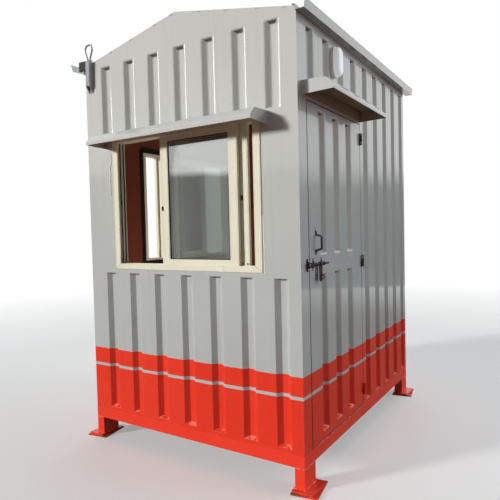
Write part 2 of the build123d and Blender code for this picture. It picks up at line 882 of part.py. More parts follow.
with BuildPart() as door_inner_sheet:
    with BuildSketch(right_face.offset(sheet - leaf_thickness)):
        with Locations(((leaf_start + leaf_end) / 2, (leaf_low + leaf_high) / 2)):
            Rectangle(leaf_end - leaf_start, leaf_high - leaf_low)
    extrude(amount=-sheet)
door_inner_sheet.part.label = "door_inner_sheet"
export_step(door_inner_sheet.part, "parts/door_inner_sheet.step")

# Hinges: lift-off barrels, the lower half with its pin on the post, the upper half on the leaf
hinge_out = hinge_radius + hinge_proud
hinge_line = door_end - door_gap / 2
hinge_x = right + hinge_out
hinge_y = front + hinge_line
half = (hinge_length - hinge_seam) / 2
with BuildPart() as hinge_lower_halves:
    for height in hinge_heights:
        low = base + height - hinge_length / 2
        with BuildSketch(Plane.XY.offset(low)):
            with Locations((hinge_x, hinge_y)):
                Circle(hinge_radius)
            with Locations((right + hinge_out / 2, hinge_y + door_gap / 2 + hinge_tab / 2)):
                Rectangle(hinge_out, hinge_tab)
        extrude(amount=half)
        with BuildSketch(Plane.XY.offset(low + half)):
            with Locations((hinge_x, hinge_y)):
                Circle(hinge_pin_radius)
        extrude(amount=half - 2 * hinge_seam)
hinge_lower_halves.part.label = "hinge_lower_halves"
export_step(hinge_lower_halves.part, "parts/hinge_lower_halves.step")

with BuildPart() as hinge_upper_halves:
    for height in hinge_heights:
        low = base + height + hinge_length / 2 - half
        with BuildSketch(Plane.XY.offset(low)):
            with Locations((hinge_x, hinge_y)):
                Circle(hinge_radius)
            with Locations((right + hinge_out / 2, hinge_y - door_gap / 2 - hinge_tab / 2)):
                Rectangle(hinge_out, hinge_tab)
        extrude(amount=half)
        with BuildSketch(Plane.XY.offset(low)):
            with Locations((hinge_x, hinge_y)):
                Circle(hinge_pin_radius + hinge_pin_clearance)
        extrude(amount=half - 2 * hinge_seam, mode=Mode.SUBTRACT)
hinge_upper_halves.part.label = "hinge_upper_halves"
export_step(hinge_upper_halves.part, "parts/hinge_upper_halves.step")

# Pull: a bent rod between two long flat feet
with BuildPart() as door_pull:
    pull_low = bolt_height + pull_over_bolt
    pull_high = pull_low + pull_span
    side_plane = Plane(origin=(right, front + pull_place, base), x_dir=(1, 0, 0), z_dir=(0, -1, 0))
    with BuildLine(side_plane) as pull_path:
        FilletPolyline(
            (0, pull_high),
            (pull_reach, pull_high - pull_slant),
            (pull_reach, pull_low + pull_slant),
            (0, pull_low),
            radius=pull_bend,
        )
    with BuildSketch(Plane(origin=pull_path.line @ 0, z_dir=pull_path.line % 0)):
        Circle(pull_radius)
    sweep()
    foot_reach = pull_foot_length / 2 - pull_radius
    with BuildSketch(right_face):
        with Locations((pull_place, pull_high + foot_reach), (pull_place, pull_low - foot_reach)):
            SlotOverall(pull_foot_length, pull_foot_width, rotation=90)
    extrude(amount=pull_foot_thickness)
    with BuildSketch(right_face):
        with Locations((pull_place, (pull_low + pull_high) / 2)):
            Rectangle(2 * post_width, 2 * hood_depth)
    extrude(amount=-leaf_thickness, mode=Mode.SUBTRACT)
door_pull.part.label = "door_pull"
export_step(door_pull.part, "parts/door_pull.step")

# Bolt guides, bent straps with two feet each, and the staple that the tongue locks over
guide_radius = bolt_radius + bolt_clearance
staple_height = bolt_height - staple_drop
with BuildPart() as bolt_guides:
    for place in (bolt_guide_near, bolt_guide_far):
        strap_plane = Plane(
            origin=(right, front + place - bolt_guide_width / 2, base),
            x_dir=(1, 0, 0),
            z_dir=(0, -1, 0),
        )
        with BuildSketch(strap_plane) as strap:
            with Locations((bolt_stand_off, bolt_height)):
                Circle(guide_radius + bolt_guide_wall)
            with Locations((bolt_stand_off / 2, bolt_height)):
                Rectangle(bolt_stand_off, 2 * (guide_radius + bolt_guide_wall))
            with Locations((bolt_guide_wall / 2, bolt_height)):
                Rectangle(bolt_guide_wall, bolt_guide_height)
            with Locations((bolt_stand_off, bolt_height)):
                Circle(guide_radius, mode=Mode.SUBTRACT)
            with Locations((bolt_stand_off / 2, bolt_height)):
                Rectangle(bolt_stand_off, 2 * guide_radius, mode=Mode.SUBTRACT)
        extrude(strap.sketch, amount=-bolt_guide_width)
    staple_plane = Plane(origin=(right, front + tongue_place, base), x_dir=(1, 0, 0), z_dir=(0, -1, 0))
    with BuildLine(staple_plane) as staple_path:
        FilletPolyline(
            (0, staple_height + staple_half),
            (staple_reach, staple_height + staple_half),
            (staple_reach, staple_height - staple_half),
            (0, staple_height - staple_half),
            radius=1.5 * staple_radius,
        )
    with BuildSketch(Plane(origin=staple_path.line @ 0, z_dir=staple_path.line % 0)) as wire:
        Circle(staple_radius)
    sweep(wire.sketch, path=staple_path.line)
bolt_guides.part.label = "bolt_guides"
export_step(bolt_guides.part, "parts/bolt_guides.step")

# Slide bolt, drawn back: a straight rod and a hanging tongue
bolt_tip = bolt_shot_tip + bolt_travel
bolt_x = right + bolt_stand_off
bolt_z = base + bolt_height
with BuildPart() as bolt_rod:
    with BuildSketch(Plane.XZ.offset(-(front + bolt_tip))):
        with Locations((bolt_x, bolt_z)):
            Circle(bolt_radius)
    extrude(amount=-bolt_length)
bolt_rod.part.label = "bolt_rod"
export_step(bolt_rod.part, "parts/bolt_rod.step")

tongue_y = front + tongue_place + bolt_travel
with BuildPart() as bolt_tongue:
    upright = Plane(origin=(bolt_x, tongue_y, bolt_z), x_dir=(0, 1, 0), z_dir=(1, 0, 0))
    with BuildSketch(Plane.XZ.offset(-(tongue_y - tongue_width / 2))):
        with Locations((bolt_x, bolt_z)):
            Circle(tongue_boss)
    extrude(amount=-tongue_width)
    with BuildSketch(upright.offset(-tongue_thickness / 2)):
        with Locations((0, tongue_width / 4 - tongue_length / 2)):
            Rectangle(tongue_width, tongue_length - tongue_width / 2)
        with Locations((0, tongue_width / 2 - tongue_length)):
            Circle(tongue_width / 2)
        with Locations((0, -(bolt_height - staple_height))):
            SlotOverall(tongue_slot_length, tongue_slot_width, rotation=90, mode=Mode.SUBTRACT)
    extrude(amount=tongue_thickness)
    with BuildSketch(Plane.XZ.offset(-front)):
        with Locations((bolt_x, bolt_z)):
            Circle(bolt_radius)
    extrude(amount=-depth, mode=Mode.SUBTRACT)
bolt_tongue.part.label = "bolt_tongue"
export_step(bolt_tongue.part, "parts/bolt_tongue.step")

# Keeper: a back plate on the post and a square strap that the bolt runs into
with BuildPart() as bolt_keeper:
    keeper_middle = keeper_start + keeper_width / 2
    keeper_reach = keeper_passage_depth + 2 * keeper_plate
    with BuildSketch(right_face) as plate:
        with Locations((keeper_middle, bolt_height)):
            Rectangle(keeper_width, keeper_height)
    extrude(plate.sketch, amount=keeper_plate)
    with BuildSketch(right_face) as strap:
        with Locations((keeper_middle, bolt_height)):
            Rectangle(keeper_width, keeper_passage_height + 2 * keeper_plate)
    extrude(strap.sketch, amount=keeper_reach)
    with BuildSketch(right_face.offset(keeper_plate)) as passage:
        with Locations((keeper_middle, bolt_height)):
            Rectangle(keeper_width, keeper_passage_height)
    extrude(passage.sketch, amount=keeper_passage_depth, mode=Mode.SUBTRACT)
bolt_keeper.part.label = "bolt_keeper"
export_step(bolt_keeper.part, "parts/bolt_keeper.step")
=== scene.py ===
import math

import bmesh
import bpy
from mathutils import Matrix, Vector


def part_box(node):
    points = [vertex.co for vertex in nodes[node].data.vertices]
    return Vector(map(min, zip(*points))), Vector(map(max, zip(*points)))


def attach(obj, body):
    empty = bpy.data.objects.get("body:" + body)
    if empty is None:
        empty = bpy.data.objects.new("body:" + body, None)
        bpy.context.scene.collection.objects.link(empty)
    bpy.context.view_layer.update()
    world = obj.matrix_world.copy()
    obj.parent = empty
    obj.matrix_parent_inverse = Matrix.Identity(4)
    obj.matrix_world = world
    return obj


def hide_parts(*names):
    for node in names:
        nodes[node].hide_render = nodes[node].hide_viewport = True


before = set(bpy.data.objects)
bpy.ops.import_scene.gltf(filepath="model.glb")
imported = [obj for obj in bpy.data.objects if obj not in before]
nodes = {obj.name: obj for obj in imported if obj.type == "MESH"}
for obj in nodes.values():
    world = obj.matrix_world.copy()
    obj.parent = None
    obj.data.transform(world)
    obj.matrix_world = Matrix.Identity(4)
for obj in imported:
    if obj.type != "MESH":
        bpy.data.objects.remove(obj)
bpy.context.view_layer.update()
scene = bpy.context.scene
print("booth: frame loaded")

# Lines of the cabin, taken from the frame. Places on its walls are given in millimetres.
mm = 0.001
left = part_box("rear_wall")[0].x
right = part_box("rear_wall")[1].x
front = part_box("front_wall_sides")[0].y
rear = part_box("rear_wall")[1].y
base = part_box("base_frame")[0].z
cabinWide = round((right - left) / mm)
cabinDeep = round((rear - front) / mm)
lengthOf = {"front": cabinWide, "rear": cabinWide, "right": cabinDeep, "left": cabinDeep}

upward, east, north = Vector((0, 0, 1)), Vector((1, 0, 0)), Vector((0, 1, 0))
outward = {"front": -north, "rear": north, "right": east, "left": -east}
sideways = {"front": east, "rear": east, "right": north, "left": north}


def onFace(face, along, up, out=0.0):
    # a point on a wall: along it, up from the base rails' underside, and out from its sheet
    z = base + up * mm
    if face == "front":
        return Vector((left + along * mm, front - out * mm, z))
    if face == "rear":
        return Vector((left + along * mm, rear + out * mm, z))
    if face == "right":
        return Vector((right + out * mm, front + along * mm, z))
    return Vector((left - out * mm, front + along * mm, z))


def signs(operation):
    # the two methods that write one operation: the wire first, and the wire second
    return (
        lambda wire, other: wire.kit.sum(operation, wire, other),
        lambda wire, other: wire.kit.sum(operation, other, wire),
    )


class Wire:
    # one value in a node tree, so that sums can be written as sums
    __add__, __radd__ = signs("ADD")
    __sub__, __rsub__ = signs("SUBTRACT")
    __mul__, __rmul__ = signs("MULTIPLY")
    __truediv__, __rtruediv__ = signs("DIVIDE")
    __pow__, __rpow__ = signs("POWER")

    def __init__(self, kit, socket):
        self.kit = kit
        self.socket = socket

    def out(self, name):
        return Wire(self.kit, self.socket.node.outputs[name])

    def size(self):
        return self.kit.sum("ABSOLUTE", self, 0.0)

    def held(self):
        # kept between 0 and 1
        return self.kit.add("ShaderNodeMath", {"operation": "ADD", "use_clamp": True}, {0: self, 1: 0.0})


class Kit:
    # makes nodes in one tree
    def __init__(self, tree):
        self.tree = tree

    def add(self, kind, settings=None, sockets=None, out=0):
        # a node of one kind: its settings first, then what goes into its sockets
        node = self.tree.nodes.new(kind)
        for name, value in (settings or {}).items():
            setattr(node, name, value)
        for name, value in (sockets or {}).items():
            for one in value if isinstance(value, list) else [value]:
                if isinstance(one, Wire):
                    self.tree.links.new(one.socket, node.inputs[name])
                else:
                    node.inputs[name].default_value = one
        return Wire(self, node.outputs[out])

    def set(self, nodeName, socket, value):
        # a link or a value for a node that is there already
        given = self.tree.nodes[nodeName].inputs[socket]
        if isinstance(value, Wire):
            self.tree.links.new(value.socket, given)
        else:
            given.default_value = value

    def sum(self, operation, first, second):
        return self.add("ShaderNodeMath", {"operation": operation}, {0: first, 1: second})

    def place(self):
        return self.add("ShaderNodeTexCoord", out="Object")

    def axes(self, vector):
        split = self.add("ShaderNodeSeparateXYZ", sockets={0: vector})
        return split, split.out("Y"), split.out("Z")

    def vector(self, x, y, z):
        return self.add("ShaderNodeCombineXYZ", sockets={0: x, 1: y, 2: z})

    def cloud(self, vector, scale, detail=2.0, rough=0.5):
        return self.add(
            "ShaderNodeTexNoise",
            sockets={"Vector": vector, "Scale": scale, "Detail": detail, "Roughness": rough},
        )

    def streaks(self, place, stretch, detail=2.0, rough=0.5):
        # a cloud with its own fineness along each axis
        drawn = self.add("ShaderNodeVectorMath", {"operation": "MULTIPLY"}, {0: place, 1: stretch})
        return self.cloud(drawn, 1.0, detail, rough)

    def blend(self, factor, first, second, how="MIX"):
        return self.add(
            "ShaderNodeMix",
            {"data_type": "RGBA", "blend_type": how},
            {0: factor, 6: first, 7: second},
            out=2,
        )

    def over(self, value, line, soft):
        # 0 below the line, 1 from a little above it
        return ((value - line) / soft).held()

    def between(self, value, low, high):
        # 1 from low to high, with a soft edge
        soft = 0.0012
        return ((value - low) / soft).held() * ((high - value) / soft).held()

    def mark(self, name):
        # a value that the mesh carries from point to point
        return self.add("ShaderNodeAttribute", {"attribute_name": name}, out="Fac")


def tone(red, green, blue):
    # a colour read off as 0 to 255, made linear
    parts = [v / 255 for v in (red, green, blue)]
    return (*[v / 12.92 if v < 0.04045 else ((v + 0.055) / 1.055) ** 2.4 for v in parts], 1)


def newMaterial(name, keepShader=False):
    made = bpy.data.materials.new(name)
    made.use_nodes = True
    kit = Kit(made.node_tree)
    if not keepShader:
        kit.tree.nodes.remove(kit.tree.nodes["Principled BSDF"])
    return made, kit


def newFinish(name, recipe, **fixed):
    # a material whose recipe gives what changes over the surface, and fixed values for the rest
    made, kit = newMaterial(name, keepShader=True)
    for socket, value in {**fixed, **recipe(kit, kit.place())}.items():
        kit.set("Principled BSDF", socket, value)
    return made


def look(kit, colour, rough, *bumps, **more):
    # what a recipe gives: colour, roughness, bumps laid on each other, and what else it varies.
    # A bump is its height, its size in metres and its strength.
    normal = None
    for height, distance, strength in bumps:
        sockets = {"Height": height, "Distance": distance, "Strength": strength}
        if normal:
            sockets["Normal"] = normal
        normal = kit.add("ShaderNodeBump", sockets=sockets)
    return {"Base Color": colour, "Roughness": rough, "Normal": normal, **more}


# House paint: light grey over a red band with one grey stripe, by height in metres on the cabin
house = {
    "grey": (198, 200, 197),
    "greyLow": (187, 194, 195),
    "shade": (128, 130, 130),
    "red": (244, 66, 44),
    "redDeep": (232, 51, 35),
    "frameRed": (252, 72, 50),
    "frameRedDeep": (244, 58, 41),
    "dust": (150, 136, 118),
    "specks": (112, 104, 94),
    # pale tones for wear, and for the painted highlights on folds and groove foots
    "wearAndHighlight": (236, 234, 229),
    "redWearAndHighlight": (250, 176, 158),
    # the next tone is painted shade for the groove tops that face down
    "bare": (62, 60, 58),
    "bandTop": 0.489,
    "bandSoft": 0.0012,
    "stripe": (0.365, 0.3845),
    "splashTop": 0.11,
    "handsUp": (1.035, 1.125),
    "handsAlong": (0.27, 0.80),
}


def paint(name):
    return tone(*house[name])


def housePaint(kit, place):
    x, y, z = kit.axes(place)
    height = z - base
    broad = kit.cloud(place, 1.3, 3.0)
    middle = kit.cloud(place, 9.0, 4.0, 0.6)
    streaks = kit.streaks(place, (34.0, 34.0, 1.1), 3.0, 0.6)
    specks = kit.cloud(place, 240.0, 2.0)
    ragged = (kit.cloud(place, 45.0, 2.0) - 0.5) * 0.003
    band = ((height * -1.0 + house["bandTop"] + ragged) / house["bandSoft"]).held()
    stripe = kit.between(height + ragged, *house["stripe"])
    # the grey is painted lighter towards the top of the walls: a painted reflection of the sky
    grey = kit.blend((height / 2.0).held(), paint("greyLow"), paint("grey"))
    red = kit.blend((broad - 0.3) * 1.6, paint("red"), paint("redDeep"))
    plain = kit.blend(band * (1.0 - stripe), grey, red)
    shaded = kit.blend((0.5 - broad).size() * 0.3, plain, paint("shade"), "MULTIPLY")
    # dust: rain streaks, the foot of the walls, and the floors of the pressed grooves, where it is also
    # painted shade, more the deeper the groove
    deep = kit.mark("deep")
    clean = 1.0 - band * 0.75
    dirt = (kit.over(streaks, 0.56, 0.2) * 0.14 + kit.over(middle, 0.6, 0.2) * 0.07) * clean
    splash = (1.0 - height / house["splashTop"]).held() * kit.over(middle, 0.5, 0.25) * 0.16
    groovesDustAndShade = deep * kit.over(middle, 0.35, 0.4) * 0.12
    dustedAndShaded = kit.blend((dirt + splash + groovesDustAndShade * clean).held(), shaded, paint("dust"))
    dustedAndShaded = kit.blend(kit.over(specks, 0.71, 0.05) * 0.22 * clean, dustedAndShaded, paint("specks"))
    # painted shade on the groove tops that face down; a painted highlight on the groove foots that face up;
    # the outer folds pale partly from wear and partly as a painted highlight
    under = kit.mark("under") * deep
    # the 'bare' tone on the groove tops is painted shade
    dustedAndShaded = kit.blend((kit.over(under, 0.12, 0.3) * 0.85).held(), dustedAndShaded, paint("bare"))
    fold = kit.mark("fold") * (1.0 - deep)
    # the groove foots that face up are painted pale in patches: a painted highlight
    ledge = kit.over(kit.mark("ledge"), 0.25, 0.3) * kit.over(kit.cloud(place, 26.0, 3.0), 0.46, 0.12)
    # the outer folds: pale partly from wear and partly as a painted highlight
    wearAndHighlight = fold * kit.over(middle, 0.4, 0.3) * 0.4 * clean + ledge * 0.6
    knocks = kit.over(kit.cloud(place, 17.0, 5.0, 0.7), 0.72, 0.03) * 0.6
    # the door's middle band, scuffed pale by hands on the bolt
    reach = kit.between(y, *[front + along for along in house["handsAlong"]])
    hands = kit.between(height, *house["handsUp"]) * reach * kit.over(x, right - 0.006, 0.002)
    scuffs = hands * kit.over(kit.cloud(place, 21.0, 5.0, 0.7), 0.5, 0.12) * 0.35
    # the pale tones stand for wear and for painted highlights
    worn = kit.blend(band, paint("wearAndHighlight"), paint("redWearAndHighlight"))
    bright = kit.blend((wearAndHighlight + scuffs + knocks * (1.0 - band)).held(), dustedAndShaded, worn)
    wave = kit.cloud(place, 2.6, 2.0)
    skin = kit.cloud(place, 420.0, 1.0)
    rough = (0.27 - band * 0.07) + middle * 0.1 + dirt
    coat = {"Coat Weight": 0.9 - band * 0.65}
    return look(kit, bright, rough, (wave, 0.012, 0.2), (skin, 0.0002, 0.12), **coat)


def guttersPaint(kit, place):
    # house paint outside; what faces down is painted brown and darker: painted shade, with the brown of the
    # ground reflected in it
    outside = housePaint(kit, place)
    facing = kit.axes(kit.add("ShaderNodeNewGeometry", out="Normal"))[2]
    # faces that look down get the brown painted shade
    down = kit.over(facing * -1.0, 0.35, 0.1)
    brown = kit.blend(kit.cloud(place, 9.0, 4.0, 0.6), tone(112, 98, 86), tone(88, 76, 68))
    return {**outside, "Base Color": kit.blend(down, outside["Base Color"], brown)}


def framePaint(kit, place):
    # red of the base frame and legs, soiled near the ground
    z = kit.axes(place)[2]
    broad = kit.cloud(place, 5.0, 3.0)
    grit = kit.cloud(place, 60.0, 3.0, 0.65)
    low = (1.0 - z / 0.075).held()
    red = kit.blend(broad, paint("frameRed"), paint("frameRedDeep"))
    soil = (low * kit.over(grit, 0.46, 0.2) * 0.5 + kit.over(grit, 0.7, 0.06) * 0.15).held()
    colour = kit.blend(soil, red, tone(138, 84, 62))
    return look(kit, colour, 0.3 + soil * 0.45, (broad, 0.004, 0.2), (grit, 0.0006, 0.25))


def platePaint(kit, place):
    # red paint flaking off the rust of the packing plates
    grit = kit.cloud(place, 42.0, 4.0, 0.65)
    rust = kit.blend(grit, tone(120, 62, 38), tone(160, 102, 70))
    covered = kit.over(kit.cloud(place, 11.0, 2.0), 0.4, 0.1)
    colour = kit.blend(covered, rust, tone(222, 70, 48))
    return look(kit, colour, 0.82 - covered * 0.35, (grit, 0.0015, 0.5))


def hollowShade(kit, place):
    # brown painted shade inside the hoods, with the brown of the ground reflected in it
    broad = kit.cloud(place, 6.0, 4.0, 0.6)
    fine = kit.cloud(place, 90.0, 2.0)
    colour = kit.blend(broad, tone(174, 156, 138), tone(142, 124, 108))
    return look(kit, colour, 0.7 + fine * 0.15, (fine, 0.0005, 0.3))


def windowPaint(kit, place):
    # cream powder coat with finger smudges and rain drips
    smudge = kit.cloud(place, 26.0, 4.0, 0.6)
    drips = kit.streaks(place, (60.0, 60.0, 3.0), 3.0, 0.6)
    cream = kit.blend(kit.cloud(place, 7.0, 2.0), tone(243, 240, 222), tone(234, 230, 208))
    grime = (kit.over(smudge, 0.6, 0.14) * 0.22 + kit.over(drips, 0.6, 0.12) * 0.16).held()
    colour = kit.blend(grime, cream, tone(168, 152, 122))
    return look(kit, colour, 0.34 + grime * 0.5, (kit.cloud(place, 600.0, 1.0), 0.0001, 0.15))


def liningBoard(kit, place):
    # red brown faced board with an upright grain
    grain = kit.streaks(place, (60.0, 60.0, 2.0), 5.0, 0.6)
    broad = kit.streaks(place, (9.0, 9.0, 0.8))
    wood = kit.blend(grain, tone(98, 46, 34), tone(138, 72, 50))
    colour = kit.blend(broad * 0.5, wood, tone(104, 48, 40))
    return look(kit, colour, 0.36 + grain * 0.2, (grain, 0.0006, 0.25))


def floorBoard(kit, place):
    # pale board with its grain across the cabin, trodden grey
    grain = kit.streaks(place, (7.0, 90.0, 1.0), 5.0, 0.6)
    dirt = kit.cloud(place, 6.0, 5.0, 0.65)
    wood = kit.blend(grain, tone(142, 106, 72), tone(176, 140, 100))
    colour = kit.blend(kit.over(dirt, 0.48, 0.2) * 0.7, wood, tone(112, 96, 80))
    return look(kit, colour, 0.62 + dirt * 0.2, (grain, 0.0008, 0.4))


def rustySteel(kit, place):
    # brown rust with bare metal showing in places
    fine = kit.cloud(place, 130.0, 5.0, 0.7)
    rust = kit.blend(fine, tone(36, 27, 25), tone(88, 60, 50))
    bare = kit.over(kit.cloud(place, 24.0, 3.0), 0.58, 0.1)
    colour = kit.blend(bare * 0.5, rust, tone(96, 88, 84))
    return look(kit, colour, 0.74 - bare * 0.3, (fine, 0.001, 0.6), Metallic=bare * 0.6)


def hingeSteel(kit, place):
    # dark steel with the wall's paint brushed over it: red on the lowest, grey in patches above
    height = kit.axes(place)[2] - base
    fine = kit.cloud(place, 150.0, 4.0, 0.6)
    low = kit.over(height * -1.0, -house["bandTop"], 0.001)
    patch = (low + kit.over(kit.cloud(place, 36.0, 2.0), 0.56, 0.05)).held()
    brushed = kit.blend(low, paint("greyLow"), paint("redDeep"))
    dark = kit.blend(fine, tone(36, 32, 31), tone(84, 70, 64))
    colour = kit.blend(patch, dark, brushed)
    return look(kit, colour, 0.5 - patch * 0.15, (fine, 0.0006, 0.4))


def zincSteel(kit, place):
    # galvanised steel with its crystals, dulled in clouds
    crystal = kit.add("ShaderNodeTexVoronoi", sockets={"Vector": place, "Scale": 90.0}, out="Color")
    cloudy = kit.cloud(place, 14.0, 4.0)
    grey = kit.blend(kit.axes(crystal)[0], tone(164, 167, 170), tone(190, 193, 196))
    colour = kit.blend(cloudy * 0.5, grey, tone(132, 134, 136))
    return look(kit, colour, 0.38 + cloudy * 0.25, (cloudy, 0.0006, 0.2), Metallic=0.45 + cloudy * 0.2)


def glowingLampShade(kit, place):
    # opal plastic with a painted glow: it gives off a little light of its own, standing in for daylight
    # through it, though the lamp is off
    cloudy = kit.cloud(place, 12.0, 2.0)
    white = kit.blend(cloudy, tone(252, 252, 252), tone(246, 247, 248))
    glow = {"Emission Color": kit.blend(cloudy, tone(250, 251, 252), tone(240, 242, 245))}
    return look(kit, white, 0.3 + cloudy * 0.1, (kit.cloud(place, 500.0, 1.0), 0.00015, 0.2), **glow)


def mottled(
    name, cloud, tones, rough, bump, edge=None, cover=1.0, wear=False, metal=None, grain=None, **fixed,
):
    # A plain finish in two tones, for small pieces. One cloud mixes the tones, softly or at an edge, and
    # varies the roughness. With wear, the roughness follows the worn places instead.
    def recipe(kit, place):
        spread = kit.cloud(place, *cloud)
        worn = kit.over(spread, *edge) if edge else spread
        height = kit.cloud(place, *grain) if grain else spread
        colour = kit.blend(worn * cover, tone(*tones[0]), tone(*tones[1]))
        dull = rough[0] + (worn if wear else spread) * rough[1]
        more = {"Metallic": metal[0] + worn * metal[1]} if metal else {}
        return look(kit, colour, dull, (height, *bump), **more)

    return newFinish(name, recipe, **fixed)


pane = {
    "clear": (0.84, 0.88, 0.86, 1), "bend": 1.5, "mirror": 0.29, "polish": 0.02,
    "dust": 0.03, "smears": 0.05,
}


def paneGlass():
    # clear pane: seen through, with the sky on it and a little dust
    made, kit = newMaterial("window_glass")
    smears = kit.over(kit.cloud(kit.place(), 3.0, 5.0, 0.6), 0.5, 0.3) * pane["smears"] + pane["dust"]
    clear = kit.add("ShaderNodeBsdfTransparent", sockets={"Color": pane["clear"]})
    shine = kit.add("ShaderNodeBsdfGlossy", sockets={"Color": (1, 1, 1, 1), "Roughness": pane["polish"]})
    haze = kit.add("ShaderNodeBsdfDiffuse", sockets={"Color": tone(206, 206, 196)})
    sky = (kit.add("ShaderNodeFresnel", sockets={"IOR": pane["bend"]}) + pane["mirror"]).held()
    mixed = kit.add("ShaderNodeMixShader", sockets={0: sky, 1: clear, 2: shine})
    dusty = kit.add("ShaderNodeMixShader", sockets={0: smears, 1: mixed, 2: haze})
    kit.set("Material Output", "Surface", dusty)
    return made


gloss = {"Coat Roughness": 0.06, "Coat IOR": 1.6, "IOR": 1.45}
enamel = {"Coat Weight": 1.0, "Coat Roughness": 0.12}
finishes = {
    "house": newFinish("house_paint", housePaint, **gloss),
    "eaves": newFinish("eaves_paint", guttersPaint, **gloss),
    "red": newFinish("red_paint", framePaint, **gloss, **{"Coat Weight": 0.25}),
    "plate": newFinish("plate_paint", platePaint),
    "hollowShade": newFinish("brown_hollow_shade", hollowShade),
    "window": newFinish("window_paint", windowPaint, **{"Coat Weight": 0.15}),
    "lining": newFinish("lining_board", liningBoard),
    "floor": newFinish("floor_board", floorBoard),
    "rust": newFinish("rusty_steel", rustySteel),
    "hinge": newFinish("hinge_steel", hingeSteel),
    "zinc": newFinish("zinc_steel", zincSteel),
    # the lamp shade glows a little: painted light, though the lamp is off
    "glowingLampShade": newFinish("lamp_shade_painted_glow", glowingLampShade, **{"Emission Strength": 0.28}),
    "glass": paneGlass(),
    # red paint turned pale pink along edges and welds: a painted highlight where light catches them
    "redHighlight": mottled(
        "red_painted_highlight", (38.0, 4.0, 0.6), (house["red"], house["redWearAndHighlight"]),
        rough=(0.3, 0.2), bump=(0.001, 0.3), edge=(0.45, 0.2), **gloss,
    ),
    # plated screw heads, painted near white so that they also show as glints
    "glintScrew": mottled(
        "steel_with_painted_glint", (260.0, 3.0), ((246, 246, 244), (214, 213, 208)),
        rough=(0.22, 0.15), bump=(0.0003, 0.3), metal=(0.15, 0.1),
    ),
    "board": mottled(
        "ceiling_board", (4.0, 3.0), ((214, 210, 200), (196, 190, 178)),
        rough=(0.5, 0.1), bump=(0.0003, 0.2), grain=(180.0, 2.0),
    ),
    "rubber": mottled(
        "black_rubber", (70.0, 3.0), ((20, 19, 18), (70, 65, 58)),
        rough=(0.55, 0.2), bump=(0.0002, 0.3), edge=(0.5, 0.3), cover=0.3, grain=(300.0, 1.0),
    ),
    "sealant": mottled(
        "white_sealant", (55.0, 3.0), ((240, 240, 235), (214, 213, 206)),
        rough=(0.38, 0.2), bump=(0.002, 0.5),
    ),
    # blackened strap with brown showing through
    "strap": mottled(
        "dark_steel", (150.0, 5.0, 0.7), ((24, 22, 22), (66, 46, 40)),
        rough=(0.46, 0.3), bump=(0.0008, 0.5), edge=(0.55, 0.12), wear=True, metal=(0.3, -0.25),
    ),
    "black": mottled(
        "black_paint", (90.0, 4.0, 0.65), ((26, 25, 25), (88, 70, 58)),
        rough=(0.24, 0.4), bump=(0.0004, 0.3), edge=(0.6, 0.08), wear=True, **enamel,
    ),
    "weld": mottled(
        "weld_metal", (160.0, 3.0, 0.6), ((150, 150, 148), (196, 197, 194)),
        rough=(0.36, 0.25), bump=(0.0006, 0.4),
    ),
    "lampBody": mottled(
        "lamp_body", (34.0, 3.0), ((244, 243, 240), (206, 202, 194)),
        rough=(0.4, 0.15), bump=(0.0002, 0.2), edge=(0.5, 0.3), cover=0.3, grain=(380.0, 1.0),
    ),
}
wornBy = {
    "red": ("base_frame", "legs", "foot_plates", "floor_joists"),
    "plate": ("packing_plates",),
    "floor": ("floor_board",),
    "lining": ("end_linings", "side_linings"),
    "board": ("ceiling_board",),
    "window": ("front_window_frame", "front_window_sashes", "side_window_frame", "side_window_sashes"),
    "glass": ("front_window_glass", "side_window_glass"),
    "lampBody": ("lamp_base",),
    "glowingLampShade": ("lamp_diffuser",),
    "zinc": ("lifting_loop",),
    "black": ("door_pull",),
    "hinge": ("hinge_lower_halves", "hinge_upper_halves"),
    "strap": ("bolt_guides", "bolt_rod", "bolt_keeper", "eave_block"),
    "rust": ("bolt_tongue",),
    "eaves": ("gutter_left", "gutter_right"),
}
finishOf = {node: finish for finish, group in wornBy.items() for node in group}
for name, thing in nodes.items():
    finish = finishes[finishOf.get(name, "house")]
    if not thing.material_slots:
        thing.data.materials.append(finish)
    for slot in thing.material_slots:
        slot.material = finish
print("booth: finishes made")


def settled(thing, body, replaced=()):
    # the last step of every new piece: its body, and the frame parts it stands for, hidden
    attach(thing, body)
    if replaced:
        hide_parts(*replaced)
    return thing


# Trees for what repeats or follows a line. Each carrier point says which way it faces.
def newTree(name, sizes, grow):
    tree = bpy.data.node_groups.new(name, "GeometryNodeTree")
    tree.interface.new_socket("Geometry", in_out="INPUT", socket_type="NodeSocketGeometry")
    keys = {}
    for size, value in {"finish": None, **sizes}.items():
        kind = {int: "NodeSocketInt", float: "NodeSocketFloat"}.get(type(value), "NodeSocketMaterial")
        made = tree.interface.new_socket(size, in_out="INPUT", socket_type=kind)
        if value is not None:
            made.default_value = value
        keys[size] = made.identifier
    tree.interface.new_socket("Geometry", in_out="OUTPUT", socket_type="NodeSocketGeometry")
    kit = Kit(tree)
    given = kit.add("NodeGroupInput")
    single = kit.add("GeometryNodeRealizeInstances", sockets={"Geometry": grow(kit, given)})
    dress = {"Geometry": single, "Material": given.out("finish")}
    dressed = kit.add("GeometryNodeSetMaterial", sockets=dress)
    end = tree.nodes.new("NodeGroupOutput")
    tree.links.new(dressed.socket, end.inputs[0])
    return tree, keys


def facingMark(kit):
    return kit.add("GeometryNodeInputNamedAttribute", {"data_type": "FLOAT_VECTOR"}, {"Name": "facing"})


# a pan head in parts of its radius and depth: the rim, the crown sunk a little into it, and its slot
panHead = {
    "sides": 16,
    "rimTop": 0.94, "rimDeep": 0.55,
    "crownLow": 0.9, "crownTop": 0.5, "crownDeep": 0.5, "crownFrom": 0.5,
    "slotLong": 1.3, "slotWide": 0.26, "slotAt": 1.15,
}


